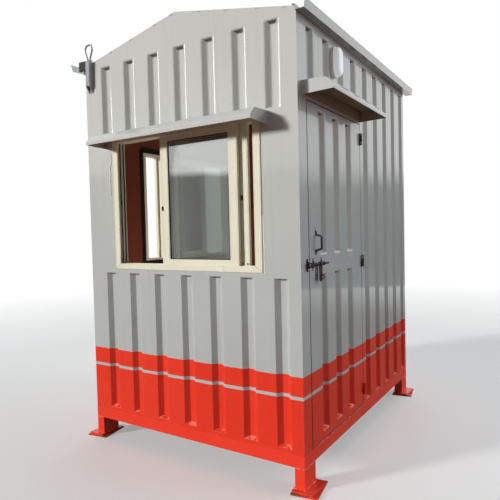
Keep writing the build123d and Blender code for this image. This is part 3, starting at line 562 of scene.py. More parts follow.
def growScrews(kit, given):
    # one pan head with a driver slot, then a copy on every point, each turned its own way
    head, depth = given.out("head"), given.out("depth")

    def disc(low, top, deep):
        return kit.add(
            "GeometryNodeMeshCone",
            sockets={"Vertices": panHead["sides"], "Radius Bottom": low, "Radius Top": top, "Depth": deep},
        )

    def raised(geometry, share):
        shift = kit.vector(0.0, 0.0, depth * share)
        return kit.add("GeometryNodeTransform", sockets={"Geometry": geometry, "Translation": shift})

    rim = disc(head, head * panHead["rimTop"], depth * panHead["rimDeep"])
    crown = disc(head * panHead["crownLow"], head * panHead["crownTop"], depth * panHead["crownDeep"])
    slotSize = kit.vector(head * panHead["slotLong"], head * panHead["slotWide"], depth)
    slot = kit.add("GeometryNodeMeshCube", sockets={"Size": slotSize})
    cut = kit.add(
        "GeometryNodeMeshBoolean",
        {"operation": "DIFFERENCE", "solver": "EXACT"},
        {"Mesh 1": raised(crown, panHead["crownFrom"]), "Mesh 2": raised(slot, panHead["slotAt"])},
    )
    whole = kit.add("GeometryNodeJoinGeometry", sockets={"Geometry": [rim, cut]})
    turn = kit.add("FunctionNodeAlignRotationToVector", {"axis": "Z"}, {"Vector": facingMark(kit)})
    turns = {2: 0.0, 3: 6.28, "Seed": given.out("seed")}
    angle = kit.add("FunctionNodeRandomValue", {"data_type": "FLOAT"}, turns, out=1)
    spin = kit.add("FunctionNodeAxisAngleToRotation", sockets={"Axis": (0.0, 0.0, 1.0), "Angle": angle})
    turned = kit.add(
        "FunctionNodeRotateRotation", {"rotation_space": "LOCAL"}, {"Rotation": turn, "Rotate By": spin},
    )
    return kit.add(
        "GeometryNodeInstanceOnPoints",
        sockets={"Points": given.out("Geometry"), "Instance": whole, "Rotation": turned},
    )


def growBead(kit, given):
    # a laid bead: rippled along its length and lumpy, for welds and sealant
    radius = given.out("radius")
    line = kit.add("GeometryNodeMeshToCurve", sockets={"Mesh": given.out("Geometry")})
    spaced = {"Curve": line, "Length": given.out("step")}
    line = kit.add("GeometryNodeResampleCurve", {"mode": "LENGTH"}, spaced)
    along = kit.add("GeometryNodeSplineParameter", out="Length")
    # one ripple a pitch: half a turn of the sine, its size taken
    ripple = kit.sum("SINE", along / given.out("pitch") * 3.1416, 0.0).size()
    ring = kit.add(
        "GeometryNodeCurvePrimitiveCircle", {"mode": "RADIUS"}, {"Resolution": 10, "Radius": radius},
    )
    thick = 1.0 - ripple * given.out("ripple")
    tube = kit.add(
        "GeometryNodeCurveToMesh",
        sockets={"Curve": line, "Profile Curve": ring, "Scale": thick, "Fill Caps": True},
    )
    place = kit.add("GeometryNodeInputPosition")
    lumps = kit.add(
        "ShaderNodeTexNoise", {"noise_dimensions": "4D"},
        {"Vector": place, "W": given.out("seed") * 3.7, "Scale": 1.2 / radius * 0.35, "Detail": 2.0},
    )
    push = kit.add(
        "ShaderNodeVectorMath", {"operation": "SCALE"},
        {0: kit.add("GeometryNodeInputNormal"), "Scale": (lumps - 0.5) * radius * given.out("uneven")},
    )
    tube = kit.add("GeometryNodeSetPosition", sockets={"Geometry": tube, "Offset": push})
    return kit.add("GeometryNodeSetShadeSmooth", sockets={"Geometry": tube})


def growStrip(kit, given):
    # a flat strip laid along a line, its breadth in the face and its depth off it
    line = kit.add("GeometryNodeMeshToCurve", sockets={"Mesh": given.out("Geometry")})
    faced = {"Curve": line, "Normal": facingMark(kit)}
    line = kit.add("GeometryNodeSetCurveNormal", {"mode": "FREE"}, faced)
    shape = kit.add(
        "GeometryNodeCurvePrimitiveQuadrilateral", {"mode": "RECTANGLE"},
        {"Width": given.out("deep"), "Height": given.out("broad")},
    )
    shape = kit.add(
        "GeometryNodeFilletCurve", {"mode": "POLY"},
        {"Curve": shape, "Count": 2, "Radius": given.out("corner"), "Limit Radius": True},
    )
    return kit.add(
        "GeometryNodeCurveToMesh", sockets={"Curve": line, "Profile Curve": shape, "Fill Caps": True},
    )


trees = {
    "screws": newTree("screw_heads", {"head": 0.004, "depth": 0.0025, "seed": 3}, growScrews),
    "bead": newTree(
        "laid_bead",
        {"radius": 0.003, "step": 0.004, "pitch": 0.006, "ripple": 0.2, "uneven": 0.5, "seed": 5},
        growBead,
    ),
    "strip": newTree("flat_strip", {"broad": 0.004, "deep": 0.002, "corner": 0.0005}, growStrip),
}


def carrierOf(name, runs):
    # a mesh of points and lines for a tree to grow on: each run has its points and its facing
    points, lines, facings = [], [], []
    for run, facing in runs:
        first = len(points)
        closed = len(run) > 2 and (run[0] - run[-1]).length < 0.00001
        kept = run[:-1] if closed else run
        points += kept
        lines += [(first + k, first + k + 1) for k in range(len(kept) - 1)]
        if closed:
            lines.append((first + len(kept) - 1, first))
        facings += [facing] * len(kept)
    mesh = bpy.data.meshes.new(name)
    mesh.from_pydata(points, lines, [])
    marks = mesh.attributes.new("facing", "FLOAT_VECTOR", "POINT")
    marks.data.foreach_set("vector", [c for facing in facings for c in facing])
    return mesh


def shown(name, mesh):
    thing = bpy.data.objects.new(name, mesh)
    scene.collection.objects.link(thing)
    return thing


def applied(thing, name):
    # what the object's modifiers make of it, as its own plain mesh
    graph = bpy.context.evaluated_depsgraph_get()
    mesh = bpy.data.meshes.new_from_object(
        thing.evaluated_get(graph), preserve_all_data_layers=True, depsgraph=graph,
    )
    thing.modifiers.clear()
    before = thing.data
    thing.data = mesh
    bpy.data.meshes.remove(before)
    mesh.name = name


def grown(name, tree, runs, finish, body="cabin", slot=None, **sizes):
    # runs a tree on its carrier and keeps what comes out as a plain mesh
    thing = shown(name, carrierOf(name + "_line", runs))
    group, keys = trees[tree]
    change = thing.modifiers.new("grow", "NODES")
    change.node_group = group
    change[keys["finish"]] = finishes[finish]
    for size, value in sizes.items():
        change[keys[size]] = value
    applied(thing, name)
    return settled(thing, body)


def runOn(face, places, out=0.0, facing=None):
    # a run for a tree: its points on a wall, and the way it faces
    points = [onFace(face, along, up, out) for along, up in places]
    return points, outward[face] if facing is None else facing


def levelRun(face, ends, up, out):
    return runOn(face, [(along, up) for along in ends], out)


def uprightRun(face, along, ends, out, facing=None):
    return runOn(face, [(along, up) for up in ends], out, facing)


def spotsOn(face, places, out):
    # a run of one point for each place
    return [runOn(face, [place], out) for place in places]


def movedIn(box, side, rail):
    # a rectangle moved in from the edges of another: its ends along the wall, then its ends upward
    return box[0] + side, box[1] - side, box[2] + rail, box[3] - rail


def boxOn(face, box, inset, out):
    # four straight runs round a rectangle on a wall
    a, b, c, d = movedIn(box, inset, inset)
    corners = [(a, c), (b, c), (b, d), (a, d)]
    return [runOn(face, ends, out) for ends in zip(corners, corners[1:] + corners[:1])]


def circleOf(middle, first, second, radius, sides):
    # a closed round run in the plane of two directions
    turns = [2 * math.pi * (k % sides) / sides for k in range(sides + 1)]
    points = [middle + (first * math.cos(t) + second * math.sin(t)) * radius * mm for t in turns]
    return points, second.cross(first)


def spanOf(node, face):
    # where a node lies on its wall, in millimetres: along from and to, up from and to
    low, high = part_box(node)
    ends = (low.x - left, high.x - left) if face == "front" else (low.y - front, high.y - front)
    return ends[0] / mm, ends[1] / mm, (low.z - base) / mm, (high.z - base) / mm


# Pressed sheets: the walls, the door leaf and the hoods with their folds rounded as the press leaves
# them. The fold and the groove are in millimetres, flat, bends and sharp in degrees, merge in metres.
press = {
    "merge": 0.00001, "flat": 0.6, "bendFrom": 30, "bendTo": 76,
    "fold": 7.0, "steps": 4, "sharp": 24,
    "grooveDepth": 26.0, "endsFrom": 0.06,
}


def pressedSheet(node, face, body="cabin", hooded=False):
    # a copy of the sheet's mesh with its folds rounded; marks say where folds, grooves and their ends are
    shell = bmesh.new()
    shell.from_mesh(nodes[node].data)
    bmesh.ops.remove_doubles(shell, verts=shell.verts, dist=press["merge"])
    bmesh.ops.dissolve_limit(
        shell, angle_limit=math.radians(press["flat"]), verts=shell.verts, edges=shell.edges,
    )
    bent = [e for e in shell.edges if len(e.link_faces) == 2]
    folds = [e for e in bent if press["bendFrom"] < math.degrees(e.calc_face_angle()) < press["bendTo"]]
    made = bmesh.ops.bevel(
        shell, geom=folds, offset=press["fold"] * mm, offset_type="OFFSET", segments=press["steps"],
        profile=0.5, affect="EDGES", clamp_overlap=True,
    )
    rounded = set(made["faces"])
    folded = [float(all(f in rounded for f in v.link_faces)) for v in shell.verts]
    bmesh.ops.recalc_face_normals(shell, faces=shell.faces)
    name = node + "_pressed"
    mesh = bpy.data.meshes.new(name)
    shell.to_mesh(mesh)
    shell.free()

    plane, grooveDepth = onFace(face, 0, 0), press["grooveDepth"] * mm
    deep = [max(0.0, min(1.0, (plane - v.co).dot(outward[face]) / grooveDepth)) for v in mesh.vertices]
    # at a groove's ends, the faces that look up carry a painted highlight and the faces that look down carry
    # painted shade
    tilts = [v.normal.z if d > press["endsFrom"] else 0.0 for v, d in zip(mesh.vertices, deep)]
    ledge, under = [max(0.0, t) for t in tilts], [max(0.0, -t) for t in tilts]
    for mark, values in {"fold": folded, "deep": deep, "ledge": ledge, "under": under}.items():
        mesh.attributes.new(mark, "FLOAT", "POINT").data.foreach_set("value", values)

    mesh.materials.append(finishes["house"])
    if hooded:
        shadeHollow(mesh)
    mesh.shade_smooth()
    mesh.set_sharp_from_angle(angle=math.radians(press["sharp"]))
    thing = shown(name, mesh)
    weigh = thing.modifiers.new("weigh", "WEIGHTED_NORMAL")
    weigh.keep_sharp = True
    applied(thing, name)
    return settled(thing, body, (node,))


def shadeHollow(mesh):
    # faces that look at the hollow of a hood get the brown painted shade
    mesh.materials.append(finishes["hollowShade"])
    low = Vector([min(v.co[k] for v in mesh.vertices) for k in range(3)])
    high = Vector([max(v.co[k] for v in mesh.vertices) for k in range(3)])
    along = 0 if high.x - low.x > high.y - low.y else 1
    for face in mesh.polygons:
        hollow = (low + high) / 2
        hollow.z = low.z + (high.z - low.z) * 0.3
        if abs(face.normal[along]) < 0.5:
            hollow[along] = face.center[along]
        inside = face.normal.dot(hollow - face.center) > 0 and face.normal.z < 0.2
        face.material_index = 1 if inside else 0


sheets = {
    "front": ("front_wall_lower", "front_wall_sides", "front_wall_upper"),
    "rear": ("rear_wall",),
    "right": ("right_wall_over_door", "right_wall_rear"),
    "left": ("left_wall_ends", "left_wall_lower", "left_wall_upper"),
}
for face, group in sheets.items():
    for node in group:
        pressedSheet(node, face)
pressedSheet("door_leaf", "right", body="door")
pressedSheet("window_hood", "front", hooded=True)
pressedSheet("door_hood", "right", hooded=True)
print("booth: walls, door leaf and hoods rounded")

# Windows: gaskets, sash lines, mitres, track edges, sealant, screws and catches, front and left alike.
# All places are in millimetres: along and up the wall, and out from its sheet. The sizes that a tree
# takes are in metres.
window = {
    "start": {"front": 240.0, "left": 443.0},
    "width": 1132.0, "height": 852.0, "sill": 1034.0,
    "lipSide": 46.0, "lipRail": 34.0, "lipOut": 6.0,
    "sashes": {"front": (651.5, 704.0), "left": (640.0, 655.0)},
    "sashWidth": 566.0, "sashLow": 1053.0, "sashHigh": 1865.0, "stile": 58.0, "rail": 47.0,
    "sashOut": (-1.5, -29.5), "glassOut": (-10.0, -38.0), "glassThick": 5.0,
    "gasketIn": 1.8, "gasketOff": 1.4,
    "lineIn": 7.0, "lineRound": 6.0, "lipLineIn": 4.0, "lineOff": 0.2,
    "dividers": (-26.5, -54.5), "edgeShift": 0.5, "pileShift": -7.0, "pileOff": 2.2,
    "sealLap": 3.0, "sealOut": -63.0, "beadLap": 0.5, "beadOut": 1.0,
    # these screws lie inside the frame and do not show; 6.0 brings them to the face of its lower rail
    "screws": ((243.0, 20.0), (935.0, 15.5), (1098.0, 18.5)), "screwsOut": -52.3,
}


def dressWindow(face, tag):
    start, low = window["start"][face], window["sill"]
    outer = (start, start + window["width"], low, low + window["height"])
    inner = movedIn(outer, window["lipSide"], window["lipRail"])
    lipOut, lineOff, gasketOff = window["lipOut"], window["lineOff"], window["gasketOff"]
    gaskets, lines = [], []
    for at, sashOut, glassOut in zip(window["sashes"][face], window["sashOut"], window["glassOut"]):
        sash = (at, at + window["sashWidth"], window["sashLow"], window["sashHigh"])
        opening = movedIn(sash, window["stile"], window["rail"])
        for out in (glassOut + gasketOff, glassOut - window["glassThick"] - gasketOff):
            gaskets += boxOn(face, opening, window["gasketIn"], out)
        lines += boxOn(face, sash, window["lineIn"], sashOut + lineOff)
        lines += boxOn(face, opening, -window["lineRound"], sashOut + lineOff)
    lines += boxOn(face, outer, window["lipLineIn"], lipOut + lineOff)
    lines += boxOn(face, inner, -window["lipLineIn"], lipOut + lineOff)
    grown(tag + "_gaskets", "strip", gaskets, "rubber", broad=0.0042, deep=0.0026)
    grown(tag + "_profile_lines", "strip", lines, "window", broad=0.0022, deep=0.0016)

    # one run over each corner of the frame, from its outer to its inner corner
    mitres = [
        runOn(face, ((outer[i], outer[j]), (inner[i], inner[j])), lipOut) for i in (0, 1) for j in (2, 3)
    ]
    grown(tag + "_mitres", "strip", mitres, "rubber", broad=0.0011, deep=0.0005, corner=0.0001)

    # the tracks at the jambs: a beaded edge on each divider, painted white as a highlight, and black pile
    # beside it
    piles, edges = [], []
    for at, way in ((inner[0], 1), (inner[1], -1)):
        edgeAt, pileAt = at + way * window["edgeShift"], at + way * window["pileShift"]
        for out in window["dividers"]:
            edges.append(uprightRun(face, edgeAt, inner[2:], out, sideways[face] * way))
            piles.append(uprightRun(face, pileAt, inner[2:], out + window["pileOff"]))
    grown(tag + "_track_pile", "strip", piles, "rubber", broad=0.008, deep=0.003)
    grown(tag + "_track_edge_highlights", "strip", edges, "sealant", slot="bare_aluminium", broad=0.006, deep=0.003)

    # the black strip that covers the joint between frame and lining, seen from inside
    seal = boxOn(face, outer, -window["sealLap"], window["sealOut"])
    grown(tag + "_inner_seal", "strip", seal, "rubber", broad=0.036, deep=0.005)

    bead = boxOn(face, outer, -window["beadLap"], window["beadOut"])
    grown(
        tag + "_sealant", "bead", bead, "sealant",
        radius=0.0034, step=0.009, pitch=0.05, ripple=0.25, uneven=1.3, seed=4,
    )
    places = [(start + along, low + up) for along, up in window["screws"]]
    spots = spotsOn(face, places, window["screwsOut"])
    grown(tag + "_frame_screws", "screws", spots, "strap", head=0.0048, depth=0.0026)


dressWindow("front", "front_window")
dressWindow("left", "side_window")

# Sealant beside the front window: a run wiped down the wall on the left, a flat smear on the right
wiped = {
    "run": ((216, 1790), (226, 1745), (208, 1700), (214, 1650), (203, 1600), (216, 1556), (206, 1520)),
    "runOut": 0.4, "radius": 0.0042,
    "smear": ((1376, 1350), (1380, 1285), (1379, 1225), (1382, 1165), (1379, 1110), (1381, 1030)),
    "smearOut": 0.5, "broad": 0.009, "deep": 0.001, "corner": 0.0002,
}
grown(
    "smeared_sealant", "strip", [runOn("front", wiped["smear"], wiped["smearOut"])], "sealant",
    broad=wiped["broad"], deep=wiped["deep"], corner=wiped["corner"],
)
grown(
    "wiped_sealant", "bead", [runOn("front", wiped["run"], wiped["runOut"])], "sealant",
    radius=wiped["radius"], step=0.008, pitch=0.07, ripple=0.3, uneven=1.6, seed=9,
)


def softBlocks(name, face, blocks, finish, edge=1.2):
    # small rounded blocks on a wall: each has its middle and its size along, up and out
    shell = bmesh.new()
    for (along, up, out), (wide, tall, deep) in blocks:
        made = bmesh.ops.create_cube(shell, size=1.0)["verts"]
        sides = (sideways[face] * wide * mm, upward * tall * mm, outward[face] * deep * mm)
        stretch = Matrix(sides).transposed()
        middle = onFace(face, along, up, out)
        for v in made:
            v.co = middle + stretch @ v.co
    bmesh.ops.bevel(
        shell, geom=shell.edges[:], offset=edge * mm, offset_type="OFFSET", segments=2, profile=0.5,
        affect="EDGES", clamp_overlap=True,
    )
    bmesh.ops.recalc_face_normals(shell, faces=shell.faces)
    mesh = bpy.data.meshes.new(name)
    shell.to_mesh(mesh)
    shell.free()
    mesh.shade_smooth()
    mesh.set_sharp_from_angle(angle=math.radians(50))
    mesh.materials.append(finishes[finish])
    return settled(shown(name, mesh), "cabin")


# a catch is three blocks, each by its rise and its way out from the catch's middle, and its size
catchBlocks = (
    ((0.0, 1.8), (11.0, 28.0, 3.6)),
    ((4.0, 5.5), (8.0, 12.0, 4.5)),
    ((-5.0, 4.5), (5.0, 16.0, 3.0)),
)
catches = {
    "outer_sash_catch": ("front", 661.0, 1411.0, -1.5),
    "inner_sash_catch": ("front", 1228.0, 1447.0, -29.5),
    "jamb_strike": ("front", 282.0, 1464.0, -24.0),
    "side_sash_catch": ("left", 1196.0, 1411.0, -1.5),
}
feet = {"alongs": (1224.0, 1256.0), "up": 1077.0, "out": -28.0, "size": (9.0, 9.0, 4.0)}
for name, (face, along, up, out) in catches.items():
    blocks = [((along, up + rise, out + off), size) for (rise, off), size in catchBlocks]
    softBlocks(name, face, blocks, "rubber")
blocks = [((along, feet["up"], feet["out"]), feet["size"]) for along in feet["alongs"]]
softBlocks("inner_sash_feet", "front", blocks, "rubber")
print("booth: windows dressed")

# Door: a black lip in its gaps, the sill strip, hinge welds, screws, and a ring through the tongue
door = {
    "start": 97.0, "end": 897.0,
    "lipUp": (80.0, 1940.0), "latchIn": 3.4, "hingeIn": 2.4, "lipOut": -2.5, "hingeOut": -3.5,
    "topUp": 1946.5, "topIn": 6.0,
    "sillUp": 73.0, "sillIn": 2.0, "sillOut": -1.5,
    "railUp": 70.2, "railIn": 1.0, "railOut": 0.5,
    "hinges": (185.0, 1045.0, 1848.0), "hingeGap": 6.0, "hingeHalf": 37.0, "hingeTab": 12.0,
    "weldIn": 2.5, "weldOut": 0.8,
    "boltHeight": 1072.0, "guides": (147.0, 252.0), "guideScrew": 25.0,
    "keeper": 79.5, "keeperScrew": 23.5,
    "pullPlace": 188.0, "pullScrews": (1256.5, 1123.5),
    "screwOut": 3.0, "keeperScrewOut": 4.0,
}


def doorWide(inset):
    return door["start"] + inset, door["end"] - inset


# the black rubber lip in the door's gaps also stands in for the shade inside them
lip = [
    uprightRun("right", doorWide(door["latchIn"])[0], door["lipUp"], door["lipOut"]),
    levelRun("right", doorWide(door["topIn"]), door["topUp"], door["lipOut"]),
    uprightRun("right", doorWide(door["hingeIn"])[1], door["lipUp"], door["hingeOut"]),
]
grown("door_gap_lip_and_shade", "strip", lip, "rubber", broad=0.0046, deep=0.004)
sill = [levelRun("right", doorWide(door["sillIn"]), door["sillUp"], door["sillOut"])]
grown("door_sill_seal", "strip", sill, "rubber", broad=0.0044, deep=0.003)
# a pale red strip along the rail's top edge under the door: a painted highlight
edge = [levelRun("right", doorWide(door["railIn"]), door["railUp"], door["railOut"])]
grown("rail_edge_highlight", "strip", edge, "redHighlight", broad=0.0036, deep=0.0024)

# the lower half of each hinge is welded to the cabin, the upper half to the door
gapHalf = door["hingeGap"] / 2
weldAway = gapHalf + door["hingeTab"] - door["weldIn"]
for way, body, part in ((1, "cabin", (-1.0, -0.04)), (-1, "door", (0.04, 1.0))):
    at = door["end"] - gapHalf + way * weldAway
    ends = [[up + door["hingeHalf"] * share for share in part] for up in door["hinges"]]
    grown(
        "hinge_welds_" + body, "bead", [uprightRun("right", at, pair, door["weldOut"]) for pair in ends],
        "house", body, "rusty_steel",
        radius=0.0026, step=0.0015, pitch=0.0045, ripple=0.3, uneven=0.5, seed=2,
    )

places = [(door["pullPlace"], up) for up in door["pullScrews"]]
places += [(a, door["boltHeight"] + way * door["guideScrew"]) for a in door["guides"] for way in (-1, 1)]
spots = spotsOn("right", places, door["screwOut"])
grown("door_screws", "screws", spots, "glintScrew", "door", head=0.0055, depth=0.003, seed=11)
places = [(door["keeper"], door["boltHeight"] + way * door["keeperScrew"]) for way in (-1, 1)]
spots = spotsOn("right", places, door["keeperScrewOut"])
grown("keeper_screws", "screws", spots, "glintScrew", head=0.0065, depth=0.0034, seed=7)

ring = {"along": 206.0, "up": 1000.5, "out": 26.5, "radius": 12.0, "sides": 28, "wire": 0.0026}
middle = onFace("right", ring["along"], ring["up"], ring["out"])
grown(
    "tongue_ring", "bead", [circleOf(middle, outward["right"], upward, ring["radius"], ring["sides"])],
    "black", "bolt",
    radius=ring["wire"], step=0.002, pitch=1.0, ripple=0.0, uneven=0.1, seed=1,
)
print("booth: door dressed")

# Shell: welds round the legs and the lifting loop, tacks under the roof's edges, seams, hood beads
shellWork = {
    "legs": (60.0, 130.0), "legUps": (-113.5, -0.8),
    "roofTop": 2566.0, "ridgeRise": 169.0,
    "tacks": (60, 250, 440, 640, 770, 980, 1170, 1370, 1530),
    "tackHalf": 10.0, "tackDrop": 5.0, "tackOut": 0.6,
    "seams": (650.0, 1290.0), "seamFrom": 30.0, "seamReach": ((1, 795.0), (-1, 838.0)), "seamRise": 0.001,
    "roofScrews": (90, 250, 410, 570, 730), "screwRise": 0.003,
    "hoodIn": 2.0, "hoodSides": (-70.0, -1.0), "hoodOut": 0.8,
    "rimUp": 71.5, "rimOut": 0.3,
}
wide, deep = shellWork["legs"]
legWelds = []
for x0 in (0.0, cabinWide - wide):
    for y0 in (0.0, cabinDeep - deep):
        corners = [(x0, y0), (x0 + wide, y0), (x0 + wide, y0 + deep), (x0, y0 + deep), (x0, y0)]
        for up in shellWork["legUps"]:
            legWelds.append(([onFace("front", a, up, -b) for a, b in corners], upward))
# the leg welds are a paler red: a painted highlight along the beads
grown(
    "leg_welds", "bead", legWelds, "redHighlight",
    radius=0.0036, step=0.003, pitch=0.008, ripple=0.25, uneven=0.7, seed=8,
)

ridge = cabinWide / 2
slope = shellWork["ridgeRise"] / ridge


def roofLine(along):
    return shellWork["roofTop"] - slope * abs(along - ridge)


for face in ("front", "rear"):
    tacks = []
    for along in shellWork["tacks"]:
        ends = (along - shellWork["tackHalf"], along + shellWork["tackHalf"])
        places = [(end, roofLine(end) - shellWork["tackDrop"]) for end in ends]
        tacks.append(runOn(face, places, shellWork["tackOut"]))
    grown(
        face + "_gable_tacks", "bead", tacks, "house",
        radius=0.0034, step=0.002, pitch=0.006, ripple=0.35, uneven=0.9, seed=6,
    )


def onRoof(along, back, lift):
    # a point on the roof: along the front, back from it, and lifted off the sheet
    return onFace("front", along, roofLine(along), -back) + lift


seams, seamScrews = [], []
for back in shellWork["seams"]:
    for way, reach in shellWork["seamReach"]:
        up = Vector((way * slope, 0, 1)).normalized()
        lift, screwLift = up * shellWork["seamRise"], up * shellWork["screwRise"]
        seams.append(([onRoof(ridge + way * off, back, lift) for off in (shellWork["seamFrom"], reach)], up))
        seamScrews += [([onRoof(ridge + way * off, back, screwLift)], up) for off in shellWork["roofScrews"]]
grown("roof_seams", "strip", seams, "house", broad=0.026, deep=0.004, corner=0.0015)
grown("roof_screws", "screws", seamScrews, "zinc", head=0.006, depth=0.004, seed=12)

# a plate behind the door's hood in the brown painted shade, which keeps the wall inside the hood dark
plate = {"in": 2.5, "rise": 0.4, "out": 0.9, "thick": 1.6}
a, b, c, d = spanOf("door_hood", "right")
size = (b - a - 2 * plate["in"], d - c - 2 * plate["in"], plate["thick"])
block = (((a + b) / 2, (c + d) / 2 + plate["rise"], plate["out"]), size)
softBlocks("door_hood_back_shade", "right", (block,), "hollowShade", edge=0.4)

# beads where the hoods meet the walls
hoodBeads = []
inset, sides, out = shellWork["hoodIn"], shellWork["hoodSides"], shellWork["hoodOut"]
for node, face in (("window_hood", "front"), ("door_hood", "right")):
    a, b, low, high = spanOf(node, face)
    hoodBeads.append(levelRun(face, (a + inset, b - inset), high, out))
    hoodBeads += [uprightRun(face, at, [high + side for side in sides], out) for at in (a, b)]
grown(
    "hood_beads", "bead", hoodBeads, "house",
    radius=0.0028, step=0.006, pitch=0.03, ripple=0.25, uneven=1.0, seed=3,
)

# welds down both sides of the loop's socket, and round its two rods
socket = {
    "middle": 58.0, "lean": 4.9, "half": 17.0, "low": 2260.0, "high": 2390.0, "out": 1.0,
    "rods": (45.0, 71.0), "rodUp": 2424.5, "rodOut": 16.0, "rodRadius": 7.2, "rodSides": 16,
}
loopWelds = []
for side in (-socket["half"], socket["half"]):
    at = socket["middle"] + side
    ends = ((at - socket["lean"], socket["low"]), (at, socket["high"]))
    loopWelds.append(runOn("front", ends, socket["out"]))
for along in socket["rods"]:
    middle = onFace("front", along, socket["rodUp"], socket["rodOut"])
    rod = circleOf(middle, sideways["front"], outward["front"], socket["rodRadius"], socket["rodSides"])
    loopWelds.append(rod)
grown(
    "loop_welds", "bead", loopWelds, "weld",
    radius=0.0024, step=0.0022, pitch=0.005, ripple=0.3, uneven=0.8, seed=10,
)

# the sheets' lower edge over the base rails, all round
starts = {"front": 0.0, "rear": 0.0, "left": 0.0, "right": door["end"] + 2.0}
rim = [
    levelRun(face, (start, lengthOf[face]), shellWork["rimUp"], shellWork["rimOut"])
    for face, start in starts.items()
]
grown("rail_seam", "strip", rim, "house", slot="red_paint", broad=0.0032, deep=0.0016, corner=0.0004)
print("booth: shell dressed")

# Camera at the photograph's place, measured from the cabin's corner
view = {
    "across": 2758.8, "ahead": -2299.0, "up": 1263.0,
    "yaw": 0.5683, "pitch": -0.0389, "roll": -0.0239,
    "sensor": 36.0, "lens": 35.80,
}


def makeCamera():
    # rolled about its own view, raised from looking down to its pitch, then turned by its yaw
    turns = ((view["yaw"], "Z"), (math.pi / 2 + view["pitch"], "X"), (view["roll"], "Z"))
    turn = Matrix.Identity(4)
    for angle, axis in turns:
        turn = turn @ Matrix.Rotation(angle, 4, axis)
    data = bpy.data.cameras.new("camera")
    data.sensor_width = view["sensor"]
    data.lens = view["lens"]
    data.clip_start = 0.05
    data.clip_end = 200.0
    camera = bpy.data.objects.new("camera", data)
    spot = onFace("front", view["across"], view["up"], -view["ahead"])
    camera.matrix_world = Matrix.Translation(spot) @ turn
    scene.collection.objects.link(camera)
    scene.camera = camera


makeCamera()

# Studio: a pale floor that fades into a white surround, a low key lamp, fills, and cards to mirror
studio = {
    "surround": 0.12,
    "surroundTint": (0.90, 0.96, 1.0),
    "floorHalf": 60.0,
    "floorPale": 0.88,
    "floorSoft": (0.26, 0.175, 0.14, 1),
    "floorGlow": 0.30,
    "fade": (3.5, 9.0),
    "lamps": (
        # name, which way it lies from the object, softness in degrees, strength, colour, seen by
        ("key_lamp", (-0.58, -0.79, 0.235), 8.0, 3.15, (1.0, 0.985, 0.95), "diffuse"),
        ("side_fill", (0.80, 0.60, 0.30), 45.0, 1.6, (0.88, 0.95, 1.0), "diffuse"),
        ("top_fill", (-0.10, 0.72, 0.90), 60.0, 0.9, (0.96, 0.98, 1.0), "diffuse"),
        ("fold_glint", (-0.95, 0.0, 0.29), 24.0, 1.7, (1.0, 0.99, 0.96), "glossy"),
    ),
    "lampsAway": 8.0,
    # strength, colour, height over the base, width and depth
    "inside": (12.0, (1.0, 0.93, 0.85), 0.55, 1.2, 1.5),
    "cards": (
        # name, middle on the ground, which way it faces, width, height where it fades, soft edge, brightness
        ("front_card", (-2.70, -4.55), (0.62, 0.79), 9.0, 2.28, 0.10, 0.20),
        ("side_card", (5.6, 6.4), (-0.62, -0.78), 11.0, 2.6, 0.5, 0.11),
        ("near_card", (3.6, -4.6), (-0.62, 0.79), 7.0, 4.6, 1.2, 0.30),
    ),
    # colour, and from where to where it fades
    "groundCard": ((0.17, 0.115, 0.095), 5.0, 9.0),
    "groundUp": 0.001,
}
white = (1, 1, 1, 1)


def whiteSeen(kit):
    # 1 for what the camera, a mirror or a pane sees, 0 for light that falls on the object
    ray = kit.add("ShaderNodeLightPath")
    return (ray.out("Is Camera Ray") + ray.out("Is Glossy Ray") + ray.out("Is Transmission Ray")).held()


def fromMiddle(kit, place):
    x, y = kit.axes(place)[:2]
    return (x * x + y * y) ** 0.5


def glowing(name, grow):
    # a material that only glows, with the colour that its recipe gives
    made, kit = newMaterial(name)
    glow = kit.add("ShaderNodeEmission", sockets={"Color": grow(kit, kit.place())})
    kit.set("Material Output", "Surface", glow)
    return made


def cardPaper(top, soft, level):
    # a grey card with an uneven upper edge that fades to white
    def grow(kit, place):
        height = kit.axes(place)[2]
        bands = kit.streaks(place, (1.6, 1.6, 0.15), 3.0)
        ragged = (kit.cloud(place, 1.1, 5.0, 0.6) - 0.5) * soft * 1.6
        grey = (bands + 0.5) * level
        edge = kit.over(height + ragged, top - soft / 2, soft)
        return kit.blend(edge, kit.vector(grey, grey, grey), white)

    return grow


def groundPaper(colour, near, far):
    # the ground that gloss mirrors: earth coloured by the object, white further off
    def grow(kit, place):
        patchy = kit.cloud(place, 1.7, 5.0, 0.6)
        earth = kit.blend(patchy, (*[c * 0.6 for c in colour], 1), (*[c * 1.4 for c in colour], 1))
        return kit.blend(kit.over(fromMiddle(kit, place), near, far - near), earth, white)

    return grow


def flatSheet(name, corners, paper):
    mesh = bpy.data.meshes.new(name)
    mesh.from_pydata(corners, [], [(0, 1, 2, 3)])
    mesh.materials.append(paper)
    return shown(name, mesh)


def squareOf(half, up):
    return [(-half, -half, up), (half, -half, up), (half, half, up), (-half, half, up)]


def laidCard(name, corners, grow):
    # a card that only mirrors see
    card = flatSheet(name, corners, glowing(name, grow))
    card.visible_camera = False
    card.visible_diffuse = False
    card.visible_shadow = False
    card.visible_transmission = False


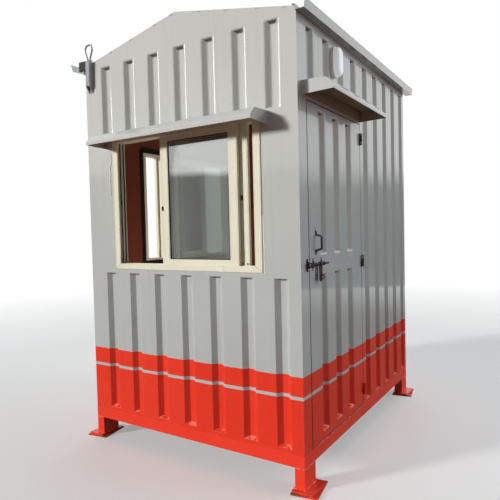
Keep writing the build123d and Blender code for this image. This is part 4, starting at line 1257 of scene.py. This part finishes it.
def makeFloor():
    # pale where it is seen and darker where it only lights the object, glowing white further off
    made, kit = newMaterial("floor_paper", keepShader=True)
    seen = whiteSeen(kit)
    near, far = studio["fade"]
    pale, glow = studio["floorPale"], studio["floorGlow"]
    tint = kit.blend(seen, studio["floorSoft"], (pale, pale, pale, 1))
    for socket, value in {"Base Color": tint, "Roughness": 0.9, "Specular IOR Level": 0.0}.items():
        kit.set("Principled BSDF", socket, value)
    away = kit.over(fromMiddle(kit, kit.place()), near, far - near)
    plain = Wire(kit, kit.tree.nodes["Principled BSDF"].outputs[0])
    bright = kit.add("ShaderNodeEmission", sockets={"Color": white, "Strength": 1.0})
    faded = seen * (away * (1.0 - glow) + glow)
    mixed = kit.add("ShaderNodeMixShader", sockets={0: faded, 1: plain, 2: bright})
    kit.set("Material Output", "Surface", mixed)
    flatSheet("floor_sheet", squareOf(studio["floorHalf"], 0), made)


def makeLamp(name, kind, strength, colour, matrix):
    data = bpy.data.lights.new(name, kind)
    data.energy = strength
    data.color = colour
    lamp = bpy.data.objects.new(name, data)
    lamp.matrix_world = matrix
    scene.collection.objects.link(lamp)
    return lamp


def makeStudio():
    scene.view_settings.view_transform = "Standard"
    world = bpy.data.worlds.new("surround")
    world.use_nodes = True
    scene.world = world
    kit = Kit(world.node_tree)
    seen = whiteSeen(kit)
    kit.set("Background", "Strength", studio["surround"] + seen * (1.0 - studio["surround"]))
    kit.set("Background", "Color", kit.blend(seen, (*studio["surroundTint"], 1), white))
    makeFloor()

    for name, way, softness, strength, colour, seenBy in studio["lamps"]:
        turn = (-Vector(way)).to_track_quat("-Z", "Y").to_matrix().to_4x4()
        place = Matrix.Translation(Vector(way) * studio["lampsAway"])
        lamp = makeLamp(name, "SUN", strength, colour, place @ turn)
        lamp.data.angle = math.radians(softness)
        lamp.visible_glossy = seenBy == "glossy"
        lamp.visible_diffuse = seenBy == "diffuse"

    # a broad weak lamp over the cabin's floor, shining down, so that the lining shows through the windows
    strength, colour, height, wide, deep = studio["inside"]
    middle = Vector(((left + right) / 2, (front + rear) / 2, base + height))
    turned = Matrix.Translation(middle) @ Matrix.Rotation(math.pi, 4, "X")
    lamp = makeLamp("inside_fill", "AREA", strength, colour, turned)
    lamp.data.shape = "RECTANGLE"
    lamp.data.size = wide
    lamp.data.size_y = deep
    lamp.visible_camera = False
    lamp.visible_glossy = False

    for name, spot, facing, width, top, soft, level in studio["cards"]:
        side = upward.cross(Vector((*facing, 0)).normalized()) * width / 2
        foot = Vector((*spot, 0.0))
        high = upward * (top + soft)
        corners = [foot - side, foot + side, foot + side + high, foot - side + high]
        laidCard(name, corners, cardPaper(top, soft, level))
    colour, near, far = studio["groundCard"]
    laidCard("ground_card", squareOf(far, studio["groundUp"]), groundPaper(colour, near, far))


makeStudio()
print("booth: camera and studio made")
